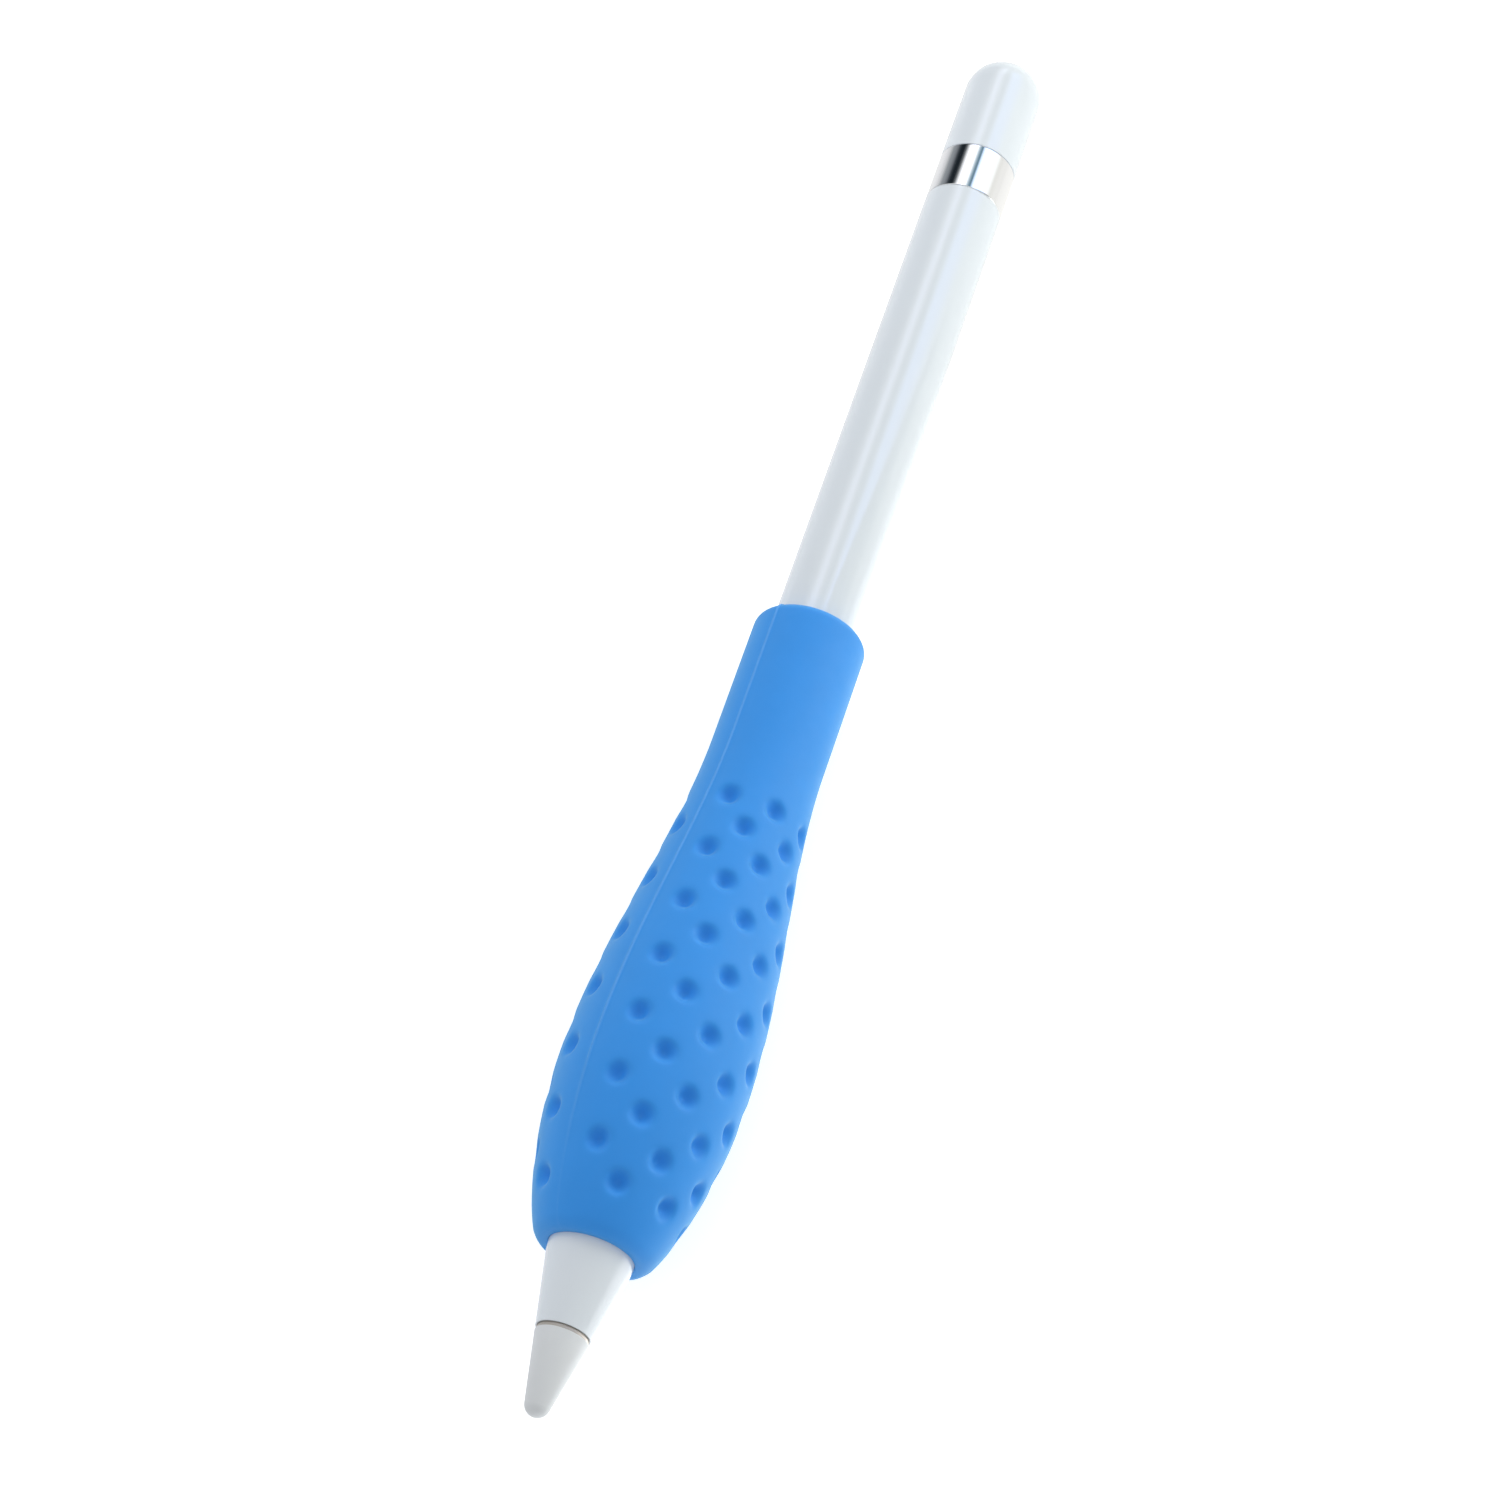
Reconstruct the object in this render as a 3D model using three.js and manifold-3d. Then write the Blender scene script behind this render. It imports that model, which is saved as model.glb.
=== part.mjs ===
// A round stylus with a soft grip sleeve pushed onto it.
// Millimetres. The stylus lies along X with its nib at -X and its cap at +X, +Z is up, and the origin is on
// the axis at half the length. A station is a distance along the axis from the end of the nib, and an angle
// round the axis is measured from the top, +Z, towards -Y.

import * as THREE from "three";
import { mergeVertices } from "three/addons/utils/BufferGeometryUtils.js";
import Module from "manifold-3d";

const wasm = await Module();
wasm.setup();

// Stylus, outside
const OVERALL_LENGTH = 175.7;
const BARREL_DIAMETER = 8.9;
const BARREL_WALL = 0.6;
const NIB_LENGTH = 8.5;
const NIB_BASE_DIAMETER = 5.52;
const CONE_LENGTH = 8.6;
const BAND_LENGTH = 6.2;
const CAP_LENGTH = 15.35;
const RING_JOINT_GAP = 0.05;

// Sleeve
const SLEEVE_FRONT = 17.7;
const SLEEVE_LENGTH = 75.7;
const SLEEVE_FIT = 0.1;
const BULB_DIAMETER = 19.6;
const BULB_DISTANCE = 20.3;
const TAIL_DIAMETER = 12.4;
const TAIL_LENGTH = 16.4;
const FRONT_FACE_DIAMETER = 10.2;
const SHOULDER_DIAMETER = 12.6;
const SHOULDER_LENGTH = 0.9;
const REAR_LIP_RADIUS = 1.25;
const BULB_FRONT_FULLNESS = 9.5;
const BULB_REAR_FULLNESS = 14;
const TAIL_RUN_OUT = 12.5;
const SHOULDER_RUN_OUT = 2.6;
const SHOULDER_RISE = 1.3;
const PARTING_LINE_ANGLE = -35.3;
const PARTING_LINE_WIDTH = 0.32;
const PARTING_LINE_HEIGHT = 0.15;
const PARTING_LINE_ROOT = 0.4;

// Dimples in the sleeve
const DIMPLE_DIAMETER = 2.3;
const DIMPLE_DEPTH = 0.8;
const DIMPLE_PITCH = 7;
const DIMPLE_ROWS = 7;
const DIMPLE_SLOTS = 16;
const FIRST_DIMPLE = 4.9;

// Nib, its thread and the shaft that carries it
const NIB_INSERT_DIAMETER = 2.9;
const NIB_INSERT_LENGTH = 3.4;
const NIB_INSERT_SETBACK = 0.5;
const THREAD_ENGAGEMENT = 2.5;
const POST_DIAMETER = 1.5;
const THREAD_CLEARANCE = 0.1;
const INSERT_CLEARANCE = 0.05;
const SEAT_RING_DIAMETER = 5.42;
const SEAT_RING_THICKNESS = 0.3;
const SEAT_RING_CLEARANCE = 0.05;
const NIB_SEAT_GAP = 0.02;
const SHAFT_DIAMETER = 2;
const SHAFT_SPIGOT_DIAMETER = 1.2;
const PRESS_TRAVEL = 0.1;
const PRESS_CLEARANCE = 0.03;
const PRESSURE_DISC_DIAMETER = 4.4;
const PRESSURE_DISC_THICKNESS = 0.6;

// Parts in the cone and the sensor stack
const CONE_LIP_LENGTH = 0.6;
const SHAFT_HOLE_CLEARANCE = 0.3;
const STACK_GAP = 0.15;
const TILT_RING_LENGTH = 2.8;
const SHAFT_BUSH_DIAMETER = 3.2;
const SHAFT_BUSH_LENGTH = 3.2;
const BUSH_RUNNING_CLEARANCE = 0.08;
const CARRIER_WALL = 0.4;
const CARRIER_FRONT_WALL = 1;
const FLEXURE_THICKNESS = 0.25;
const FORCE_SENSOR_LENGTH = 3.6;
const SENSOR_RECESS = 0.4;
const SENSOR_RIM = 0.7;
const FLEXURE_RIM = 0.75;
const FLEXURE_SLOT_WIDTH = 0.8;
const FLEXURE_ARMS = 3;
const FLEXURE_SLOT_ANGLE = 95;

// Boards
const BOARD_LENGTH = 39;
const BOARD_END_MARGIN = 1.5;
const BOARD_WIDTH = 5;
const BOARD_THICKNESS = 0.6;
const TROUGH_FLOOR = 1.8;
const CHIP_HEIGHT = 0.8;
const BOARD_SPACING = 1.1;
const RADIO_BOARD_LENGTH = 30;
const SHIELD_HEIGHT = 1.1;
const SOLDER_GAP = 0.05;
const BOARD_CORNER = 0.25;

// Cell, cable, weight and rear end
const CELL_LENGTH = 46;
const CELL_PAD_THICKNESS = 0.8;
const CABLE_WIDTH = 2;
const CABLE_THICKNESS = 0.15;
const CABLE_CLEARANCE = 0.06;
const CELL_CLEARANCE = 0.1;
const CABLE_LANDING = 2.5;
const CABLE_CLIMB = 3;
const CABLE_LANDING_SETBACK = 2.5;
const PLUG_CARRIER_LENGTH = 13.6;
const CARRIER_NECK_START = 1.5;
const ANTENNA_LENGTH = 3;
const ANTENNA_THICKNESS = 0.25;
const ANTENNA_SPLIT = 40;
const NECK_DEPTH = 0.6;
const PLUG_WIDTH = 5.2;
const PLUG_THICKNESS = 1.6;
const PLUG_REACH = 6.6;
const PLUG_ROOT = 6;
const RETENTION_RING_THICKNESS = 0.8;
const CAP_MAGNET_THICKNESS = 2;
const CAP_TOP_WALL = 1.2;
const SLOT_CLEARANCE = 0.15;
const PIECE_CLEARANCE = 0.1;

// Roundness of the turned pieces, in flats
const OUTER_SIDES = 32;
const INNER_SIDES = 24;
const DIMPLE_SIDES = 8;
const DIMPLE_RING_SHARES = [0, 0.55, 1];
const CORNER_STEPS = 2;
const SHOULDER_STEPS = 3;
const BULB_FRONT_STEPS = 7;
const BULB_REAR_STEPS = 9;
const LIP_STEPS = 3;
const DOME_STEPS = 6;
const NIB_END_STEPS = 5;
const ARM_ARC_STEPS = 5;
const HALF_ROUND_STEPS = 6;
const SPLIT_RING_STEPS = 10;

const axisX = new THREE.Vector3(1, 0, 0);
const axisY = new THREE.Vector3(0, 1, 0);
const axisZ = new THREE.Vector3(0, 0, 1);
const rad = THREE.MathUtils.degToRad;

// Stations that several pieces share
const barrelR = BARREL_DIAMETER / 2;
const boreR = barrelR - BARREL_WALL;
const fillR = boreR - PIECE_CLEARANCE;
const nibBaseR = NIB_BASE_DIAMETER / 2;
const postR = POST_DIAMETER / 2;
const shaftR = SHAFT_DIAMETER / 2;
const coneSlope = (barrelR - nibBaseR) / CONE_LENGTH;
const coneEnd = NIB_LENGTH + CONE_LENGTH;
const ringFront = NIB_LENGTH + NIB_SEAT_GAP;
const ringRear = ringFront + SEAT_RING_THICKNESS;
const barrelFront = ringRear + PRESS_TRAVEL + PRESS_CLEARANCE;
const lipRear = barrelFront + CONE_LIP_LENGTH;
const bushFront = lipRear + STACK_GAP;
const bushRear = bushFront + SHAFT_BUSH_LENGTH;
const carrierFront = bushRear + STACK_GAP;
const cavityFront = carrierFront + CARRIER_FRONT_WALL;
const discFront = cavityFront + STACK_GAP;
const discRear = discFront + PRESSURE_DISC_THICKNESS;
const flexureFront = discRear + PRESS_TRAVEL + PRESS_CLEARANCE;
const sensorFront = flexureFront + FLEXURE_THICKNESS + NIB_SEAT_GAP;
const sensorRear = sensorFront + FORCE_SENSOR_LENGTH;
const carrierRear = sensorRear + STACK_GAP;
const boardCarrierFront = carrierRear + STACK_GAP;
const boardFront = boardCarrierFront + BOARD_END_MARGIN;
const boardCarrierRear = boardFront + BOARD_LENGTH + BOARD_END_MARGIN;
const frontPadFront = boardCarrierRear + STACK_GAP;
const cellFront = frontPadFront + CELL_PAD_THICKNESS + STACK_GAP;
const cellRear = cellFront + CELL_LENGTH;
const rearPadFront = cellRear + STACK_GAP;
const tailFront = rearPadFront + CELL_PAD_THICKNESS + STACK_GAP;
const capMouth = OVERALL_LENGTH - CAP_LENGTH;
const bandRear = capMouth - RING_JOINT_GAP;
const bandFront = bandRear - BAND_LENGTH;
const barrelRear = bandFront - RING_JOINT_GAP;
const plugCarrierFront = bandRear - PLUG_CARRIER_LENGTH;
const tailRear = plugCarrierFront - STACK_GAP;
const retentionFront = bandRear + NIB_SEAT_GAP;
const retentionRear = retentionFront + RETENTION_RING_THICKNESS;
const plugEnd = retentionRear + PLUG_REACH;
const magnetFront = retentionRear + STACK_GAP;
const magnetRear = magnetFront + CAP_MAGNET_THICKNESS;
const linerFront = magnetRear + STACK_GAP;
const capCavityEnd = OVERALL_LENGTH - barrelR - CAP_TOP_WALL + BARREL_WALL;
const linerRear = capCavityEnd - STACK_GAP;

// Heights of the boards over the axis
const troughFloor = -TROUGH_FLOOR;
const boardBottom = troughFloor + SOLDER_GAP;
const boardTop = boardBottom + BOARD_THICKNESS;
const radioBoardBottom = boardTop + BOARD_SPACING;
const radioBoardTop = radioBoardBottom + BOARD_THICKNESS;
const cableTop = boreR - PIECE_CLEARANCE - CABLE_CLEARANCE;

const plastics = {
  glossWhite: { color: 0xf2f5f8, roughness: 0.12, metalness: 0 },
  nibGrey: { color: 0xd2d6d8, roughness: 0.45, metalness: 0 },
  silicone: { color: 0x4a90dc, roughness: 0.7, metalness: 0 },
  mouldedBlack: { color: 0x25282c, roughness: 0.6, metalness: 0 },
  mouldedNatural: { color: 0xe6e0cf, roughness: 0.5, metalness: 0 },
};
const metals = {
  chrome: { color: 0xe4e6e8, roughness: 0.06, metalness: 1 },
  brass: { color: 0xc9a25a, roughness: 0.3, metalness: 1 },
  copper: { color: 0xc77b4c, roughness: 0.35, metalness: 1 },
  steel: { color: 0xaeb2b6, roughness: 0.35, metalness: 1 },
  magnetNickel: { color: 0x9a9ea2, roughness: 0.25, metalness: 1 },
};
const electronics = {
  boardGreen: { color: 0x1e5c3a, roughness: 0.5, metalness: 0 },
  chipBlack: { color: 0x1a1b1d, roughness: 0.55, metalness: 0 },
  cellWrap: { color: 0x3c4a66, roughness: 0.4, metalness: 0 },
  flexAmber: { color: 0xc98c2e, roughness: 0.4, metalness: 0 },
};

const stylus = new THREE.Group();

function addPiece(name, geometry, finish) {
  const mesh = new THREE.Mesh(geometry, new THREE.MeshStandardMaterial(finish));
  mesh.name = name;
  stylus.add(mesh);
}

function alongX(station) {
  return station - OVERALL_LENGTH / 2;
}

/** Radius of the stylus's outline at a station from the nib to the barrel's rear end. */
function stylusRadius(station) {
  return Math.min(barrelR, nibBaseR + coneSlope * (station - NIB_LENGTH));
}

/**
 * Turns a profile of [station, radius] points round the axis. It runs towards the cap on its outside and back
 * on its inside, and one of its flats lies at the bottom.
 */
function turned(profile, sides = INNER_SIDES) {
  const points = profile.map(([station, radius]) => new THREE.Vector2(radius, alongX(station)));
  return new THREE.LatheGeometry(points, sides, Math.PI / sides).rotateZ(-Math.PI / 2);
}

function rod(from, to, radius, sides) {
  return turned([[from, 0], [from, radius], [to, radius], [to, 0]], sides);
}

function tube(from, to, outerR, innerR, sides) {
  return turned([[from, innerR], [from, outerR], [to, outerR], [to, innerR], [from, innerR]], sides);
}

/** Points of a circular arc in the profile's plane, angles in degrees from the axis direction. */
function arc(centreStation, centreRadius, radius, fromAngle, toAngle, steps) {
  return Array.from({ length: steps + 1 }, (_, i) => {
    const angle = rad(fromAngle + ((toAngle - fromAngle) * i) / steps);
    return [centreStation + radius * Math.cos(angle), centreRadius + radius * Math.sin(angle)];
  });
}

/** A cross-section drawn in Y and Z, pulled along the stylus. */
function pulled(shape, from, length, extra = {}) {
  const settings = { depth: length, bevelEnabled: false, curveSegments: CORNER_STEPS, ...extra };
  const frame = new THREE.Matrix4().makeBasis(axisY, axisZ, axisX);
  return new THREE.ExtrudeGeometry(shape, settings).applyMatrix4(frame).translate(alongX(from), 0, 0);
}

/** Traces a rectangle with rounded corners, centred on x and y, into a shape or a hole. */
function roundedRectangle(path, x, y, width, height, corner) {
  const [halfW, halfH] = [width / 2, height / 2];
  path.moveTo(x - halfW + corner, y - halfH);
  path.lineTo(x + halfW - corner, y - halfH);
  path.absarc(x + halfW - corner, y - halfH + corner, corner, -Math.PI / 2, 0, false);
  path.absarc(x + halfW - corner, y + halfH - corner, corner, 0, Math.PI / 2, false);
  path.absarc(x - halfW + corner, y + halfH - corner, corner, Math.PI / 2, Math.PI, false);
  path.absarc(x - halfW + corner, y - halfH + corner, corner, Math.PI, 1.5 * Math.PI, false);
  path.closePath();
  return path;
}

/** A round plate's outline, with one of its flats at the bottom. */
function disc(radius) {
  const step = (2 * Math.PI) / INNER_SIDES;
  const corners = Array.from({ length: INNER_SIDES }, (_, i) => {
    const angle = (i + 0.5) * step;
    return new THREE.Vector2(radius * Math.cos(angle), radius * Math.sin(angle));
  });
  return new THREE.Shape(corners);
}

/** A flat piece that lies level: a board, a chip or a shield can. */
function level(from, length, width, bottom, thickness, corner = BOARD_CORNER) {
  const shape = roundedRectangle(new THREE.Shape(), alongX(from) + length / 2, 0, length, width, corner);
  const settings = { depth: thickness, bevelEnabled: false, curveSegments: 1 };
  return new THREE.ExtrudeGeometry(shape, settings).translate(0, 0, bottom);
}

/** A closed geometry as a solid that can be joined and cut. */
function solidOf(geometry) {
  const bare = geometry.clone();
  bare.deleteAttribute("normal");
  bare.deleteAttribute("uv");
  const merged = mergeVertices(bare, 1e-4);
  const index = merged.index.array;
  const kept = [];
  for (let i = 0; i < index.length; i += 3) {
    const [a, b, c] = [index[i], index[i + 1], index[i + 2]];
    if (a !== b && b !== c && c !== a) kept.push(a, b, c);
  }
  const mesh = new wasm.Mesh({
    numProp: 3,
    vertProperties: new Float32Array(merged.attributes.position.array),
    triVerts: new Uint32Array(kept),
  });
  return new wasm.Manifold(mesh);
}

function geometryOf(solid) {
  const mesh = solid.getMesh();
  const geometry = new THREE.BufferGeometry();
  geometry.setAttribute("position", new THREE.BufferAttribute(mesh.vertProperties, 3));
  geometry.setIndex(new THREE.BufferAttribute(mesh.triVerts, 1));
  geometry.computeVertexNormals();
  return geometry;
}

/** Unit vector square to the axis, at an angle in degrees from the top towards -Y. */
function outward(angle) {
  return new THREE.Vector3(0, -Math.sin(rad(angle)), Math.cos(rad(angle)));
}

// Grip sleeve

const sleeveRear = SLEEVE_FRONT + SLEEVE_LENGTH;
const bulbR = BULB_DIAMETER / 2;
const tailR = TAIL_DIAMETER / 2;
const bulbStation = SLEEVE_FRONT + BULB_DISTANCE;
const tailStart = sleeveRear - TAIL_LENGTH;

/** The sleeve's outline from its front face over the bulb and along the tail to the rear face. */
function sleeveOutline() {
  const at = (station, radius) => new THREE.Vector2(station, radius);
  const faceR = FRONT_FACE_DIAMETER / 2;
  const shoulderR = SHOULDER_DIAMETER / 2;
  const shoulderStation = SLEEVE_FRONT + SHOULDER_LENGTH;
  const shoulder = new THREE.QuadraticBezierCurve(
    at(SLEEVE_FRONT, faceR),
    at(SLEEVE_FRONT, (faceR + shoulderR) / 2),
    at(shoulderStation, shoulderR),
  );
  const bulbFront = new THREE.CubicBezierCurve(
    at(shoulderStation, shoulderR),
    at(shoulderStation + SHOULDER_RUN_OUT, shoulderR + SHOULDER_RISE),
    at(bulbStation - BULB_FRONT_FULLNESS, bulbR),
    at(bulbStation, bulbR),
  );
  const bulbRear = new THREE.CubicBezierCurve(
    at(bulbStation, bulbR),
    at(bulbStation + BULB_REAR_FULLNESS, bulbR),
    at(tailStart - TAIL_RUN_OUT, tailR),
    at(tailStart, tailR),
  );
  const lipR = REAR_LIP_RADIUS;
  const rearLip = arc(sleeveRear - lipR, tailR - lipR, lipR, 90, 0, LIP_STEPS);
  return [
    ...shoulder.getPoints(SHOULDER_STEPS).map((p) => [p.x, p.y]),
    ...bulbFront.getPoints(BULB_FRONT_STEPS).slice(1).map((p) => [p.x, p.y]),
    ...bulbRear.getPoints(BULB_REAR_STEPS).slice(1).map((p) => [p.x, p.y]),
    ...rearLip,
  ];
}

/** Radius and slope of an outline of [station, radius] points at one station. */
function outlineAt(outline, station) {
  const next = outline.findIndex(([s]) => s > station);
  const [[s0, r0], [s1, r1]] = [outline[next - 1], outline[next]];
  const slope = (r1 - r0) / (s1 - s0);
  return { radius: r0 + slope * (station - s0), slope };
}

/** The fine raised line that the mould's parting leaves along the sleeve. */
function partingRidge(outline, angle) {
  const flank = outline.filter(([s]) => s > SLEEVE_FRONT && s < sleeveRear);
  const crest = flank.map(([s, r]) => new THREE.Vector2(alongX(s), r + PARTING_LINE_HEIGHT));
  const root = flank.map(([s, r]) => new THREE.Vector2(alongX(s), r - PARTING_LINE_ROOT)).reverse();
  const shape = new THREE.Shape([...root, ...crest]);
  const blade = new THREE.ExtrudeGeometry(shape, { depth: PARTING_LINE_WIDTH, bevelEnabled: false });
  const radial = outward(angle);
  const across = new THREE.Vector3().crossVectors(axisX, radial);
  const frame = new THREE.Matrix4().makeBasis(axisX, radial, across);
  return blade.translate(0, 0, -PARTING_LINE_WIDTH / 2).applyMatrix4(frame);
}

/** A shallow round bowl that opens along the sleeve's surface normal. */
function dimpleCutter(outline, station, angle) {
  const halfWidth = DIMPLE_DIAMETER / 2;
  const ballR = (halfWidth ** 2 + DIMPLE_DEPTH ** 2) / (2 * DIMPLE_DEPTH);
  const rimAngle = Math.asin(halfWidth / ballR);
  const lift = halfWidth / 2;
  const bowl = DIMPLE_RING_SHARES.map((share) => {
    const a = share * rimAngle;
    return new THREE.Vector2(ballR * Math.sin(a), ballR * (1 - Math.cos(a)) - DIMPLE_DEPTH);
  });
  const mouth = new THREE.Vector2(halfWidth + lift * Math.tan(rimAngle), lift);
  const profile = [...bowl, mouth, new THREE.Vector2(0, lift)];
  const { radius, slope } = outlineAt(outline, station);
  const radial = outward(angle);
  const normal = radial.clone().addScaledVector(axisX, -slope).normalize();
  const place = radial.multiplyScalar(radius).setX(alongX(station));
  const turn = new THREE.Quaternion().setFromUnitVectors(axisY, normal);
  const bowlGeometry = new THREE.LatheGeometry(profile, DIMPLE_SIDES);
  return bowlGeometry.applyQuaternion(turn).translate(place.x, place.y, place.z);
}

/** Stations and angles of the dimples: staggered columns, with none on the two parting lines. */
function dimplePlaces() {
  const places = [];
  const slotAngle = 360 / DIMPLE_SLOTS;
  const columnsPerSide = DIMPLE_SLOTS / 2 - 1;
  for (const side of [0, 1]) {
    for (let column = 1; column <= columnsPerSide; column += 1) {
      const angle = PARTING_LINE_ANGLE + 180 * side + slotAngle * column;
      const stagger = (column + side) % 2 === 1 ? DIMPLE_PITCH / 2 : 0;
      for (let row = 0; row < DIMPLE_ROWS; row += 1) {
        places.push([SLEEVE_FRONT + FIRST_DIMPLE + stagger + row * DIMPLE_PITCH, angle]);
      }
    }
  }
  return places;
}

function gripSleeve() {
  const outline = sleeveOutline();
  const innerR = barrelR + SLEEVE_FIT;
  const profile = [[SLEEVE_FRONT, innerR], ...outline, [sleeveRear, innerR], [SLEEVE_FRONT, innerR]];
  let sleeve = solidOf(turned(profile, OUTER_SIDES));
  for (const angle of [PARTING_LINE_ANGLE, PARTING_LINE_ANGLE + 180]) {
    sleeve = sleeve.add(solidOf(partingRidge(outline, angle)));
  }
  for (const [station, angle] of dimplePlaces()) {
    sleeve = sleeve.subtract(solidOf(dimpleCutter(outline, station, angle)));
  }
  return geometryOf(sleeve);
}

addPiece("grip_sleeve", gripSleeve(), plastics.silicone);

// Nib, with the brass insert that its thread is cut in

const insertRear = NIB_LENGTH - NIB_INSERT_SETBACK;
const insertFront = insertRear - NIB_INSERT_LENGTH;
const insertR = NIB_INSERT_DIAMETER / 2;
const postFront = insertRear - THREAD_ENGAGEMENT;

function nibCone() {
  const slopeAngle = Math.atan(coneSlope);
  const lineR = nibBaseR - coneSlope * NIB_LENGTH;
  const endR = lineR / (Math.cos(slopeAngle) - coneSlope * (1 - Math.sin(slopeAngle)));
  const tangent = 90 + THREE.MathUtils.radToDeg(slopeAngle);
  const socketR = insertR + INSERT_CLEARANCE;
  const socketEnd = insertFront - INSERT_CLEARANCE;
  return turned([
    ...arc(endR, 0, endR, 180, tangent, NIB_END_STEPS).map(([s, r]) => [s, Math.max(0, r)]),
    [NIB_LENGTH, nibBaseR],
    [NIB_LENGTH, socketR],
    [socketEnd, socketR],
    [socketEnd, 0],
  ], OUTER_SIDES);
}

addPiece("nib_cone", nibCone(), plastics.nibGrey);
addPiece("nib_insert", tube(insertFront, insertRear, insertR, postR + THREAD_CLEARANCE), metals.brass);

// Shaft that carries the nib and slides when it is pressed

const spigotR = SHAFT_SPIGOT_DIAMETER / 2;

addPiece("tip_shaft", turned([
  [postFront, 0],
  [postFront, postR],
  [ringRear + NIB_SEAT_GAP, postR],
  [ringRear + NIB_SEAT_GAP, shaftR],
  [discFront - NIB_SEAT_GAP, shaftR],
  [discFront - NIB_SEAT_GAP, spigotR],
  [discRear, spigotR],
  [discRear, 0],
]), metals.steel);
addPiece("seat_ring", tube(ringFront, ringRear, SEAT_RING_DIAMETER / 2, postR + SEAT_RING_CLEARANCE),
  metals.copper);
addPiece("pressure_disc",
  tube(discFront, discRear, PRESSURE_DISC_DIAMETER / 2, spigotR + SEAT_RING_CLEARANCE),
  metals.steel);

// Barrel, a tube that narrows to a cone with a lip round the shaft

function boreRadius(station) {
  return Math.min(boreR, stylusRadius(station) - BARREL_WALL);
}

addPiece("barrel_shell", turned([
  [barrelFront, shaftR + SHAFT_HOLE_CLEARANCE],
  [barrelFront, stylusRadius(barrelFront)],
  [coneEnd, barrelR],
  [barrelRear, barrelR],
  [barrelRear, boreR],
  [coneEnd, boreR],
  [lipRear, boreRadius(lipRear)],
  [lipRear, shaftR + SHAFT_HOLE_CLEARANCE],
  [barrelFront, shaftR + SHAFT_HOLE_CLEARANCE],
], OUTER_SIDES), plastics.glossWhite);
addPiece("band", tube(bandFront, bandRear, barrelR, boreR, OUTER_SIDES), metals.chrome);

// Electrode, bush and sensor stack in the cone

const bushR = SHAFT_BUSH_DIAMETER / 2;
const tiltRingRear = bushFront + TILT_RING_LENGTH;
const cavityR = Math.min(fillR, boreRadius(cavityFront) - PIECE_CLEARANCE) - CARRIER_WALL;
const stackR = cavityR - PIECE_CLEARANCE;

addPiece("shaft_bush", tube(bushFront, bushRear, bushR, shaftR + BUSH_RUNNING_CLEARANCE),
  plastics.mouldedNatural);
addPiece("tilt_ring", turned([
  [bushFront, bushR + PIECE_CLEARANCE],
  [bushFront, boreRadius(bushFront) - PIECE_CLEARANCE],
  [tiltRingRear, boreRadius(tiltRingRear) - PIECE_CLEARANCE],
  [tiltRingRear, bushR + PIECE_CLEARANCE],
  [bushFront, bushR + PIECE_CLEARANCE],
]), metals.copper);
addPiece("front_carrier", turned([
  [carrierFront, shaftR + SHAFT_HOLE_CLEARANCE],
  [carrierFront, boreRadius(carrierFront) - PIECE_CLEARANCE],
  [coneEnd, fillR],
  [carrierRear, fillR],
  [carrierRear, cavityR],
  [cavityFront, cavityR],
  [cavityFront, shaftR + SHAFT_HOLE_CLEARANCE],
  [carrierFront, shaftR + SHAFT_HOLE_CLEARANCE],
]), plastics.mouldedBlack);

/** Spring plate: a rim and a hub joined by three arms between curved slots. */
function flexureSpring() {
  const plate = disc(stackR);
  const slotOuter = stackR - FLEXURE_RIM;
  const slotInner = slotOuter - FLEXURE_SLOT_WIDTH;
  for (let arm = 0; arm < FLEXURE_ARMS; arm += 1) {
    const from = rad((360 * arm) / FLEXURE_ARMS);
    const to = from + rad(FLEXURE_SLOT_ANGLE);
    const slot = new THREE.Path();
    slot.absarc(0, 0, slotOuter, from, to, false);
    slot.absarc(0, 0, slotInner, to, from, true);
    slot.closePath();
    plate.holes.push(slot);
  }
  return pulled(plate, flexureFront, FLEXURE_THICKNESS, { curveSegments: ARM_ARC_STEPS });
}

addPiece("flexure_spring", flexureSpring(), metals.steel);
addPiece("force_sensor", turned([
  [sensorFront + SENSOR_RECESS, 0],
  [sensorFront + SENSOR_RECESS, stackR - SENSOR_RIM],
  [sensorFront, stackR - SENSOR_RIM],
  [sensorFront, stackR],
  [sensorRear, stackR],
  [sensorRear, 0],
]), metals.magnetNickel);

// Boards in their trough

const radioBoardFront = boardFront + BOARD_LENGTH - RADIO_BOARD_LENGTH;

function boardCarrier() {
  const slotWidth = BOARD_WIDTH + 2 * PIECE_CLEARANCE;
  const slotFront = boardCarrierFront + CARRIER_FRONT_WALL;
  const slotLength = boardCarrierRear - boardCarrierFront;
  const cut = level(slotFront, slotLength, slotWidth, troughFloor, 2 * BARREL_DIAMETER);
  return geometryOf(solidOf(rod(boardCarrierFront, boardCarrierRear, fillR)).subtract(solidOf(cut)));
}

addPiece("board_carrier", boardCarrier(), plastics.mouldedBlack);
addPiece("logic_board", level(boardFront, BOARD_LENGTH, BOARD_WIDTH, boardBottom, BOARD_THICKNESS),
  electronics.boardGreen);
addPiece("radio_board",
  level(radioBoardFront, RADIO_BOARD_LENGTH, BOARD_WIDTH, radioBoardBottom, BOARD_THICKNESS),
  electronics.boardGreen);

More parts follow.
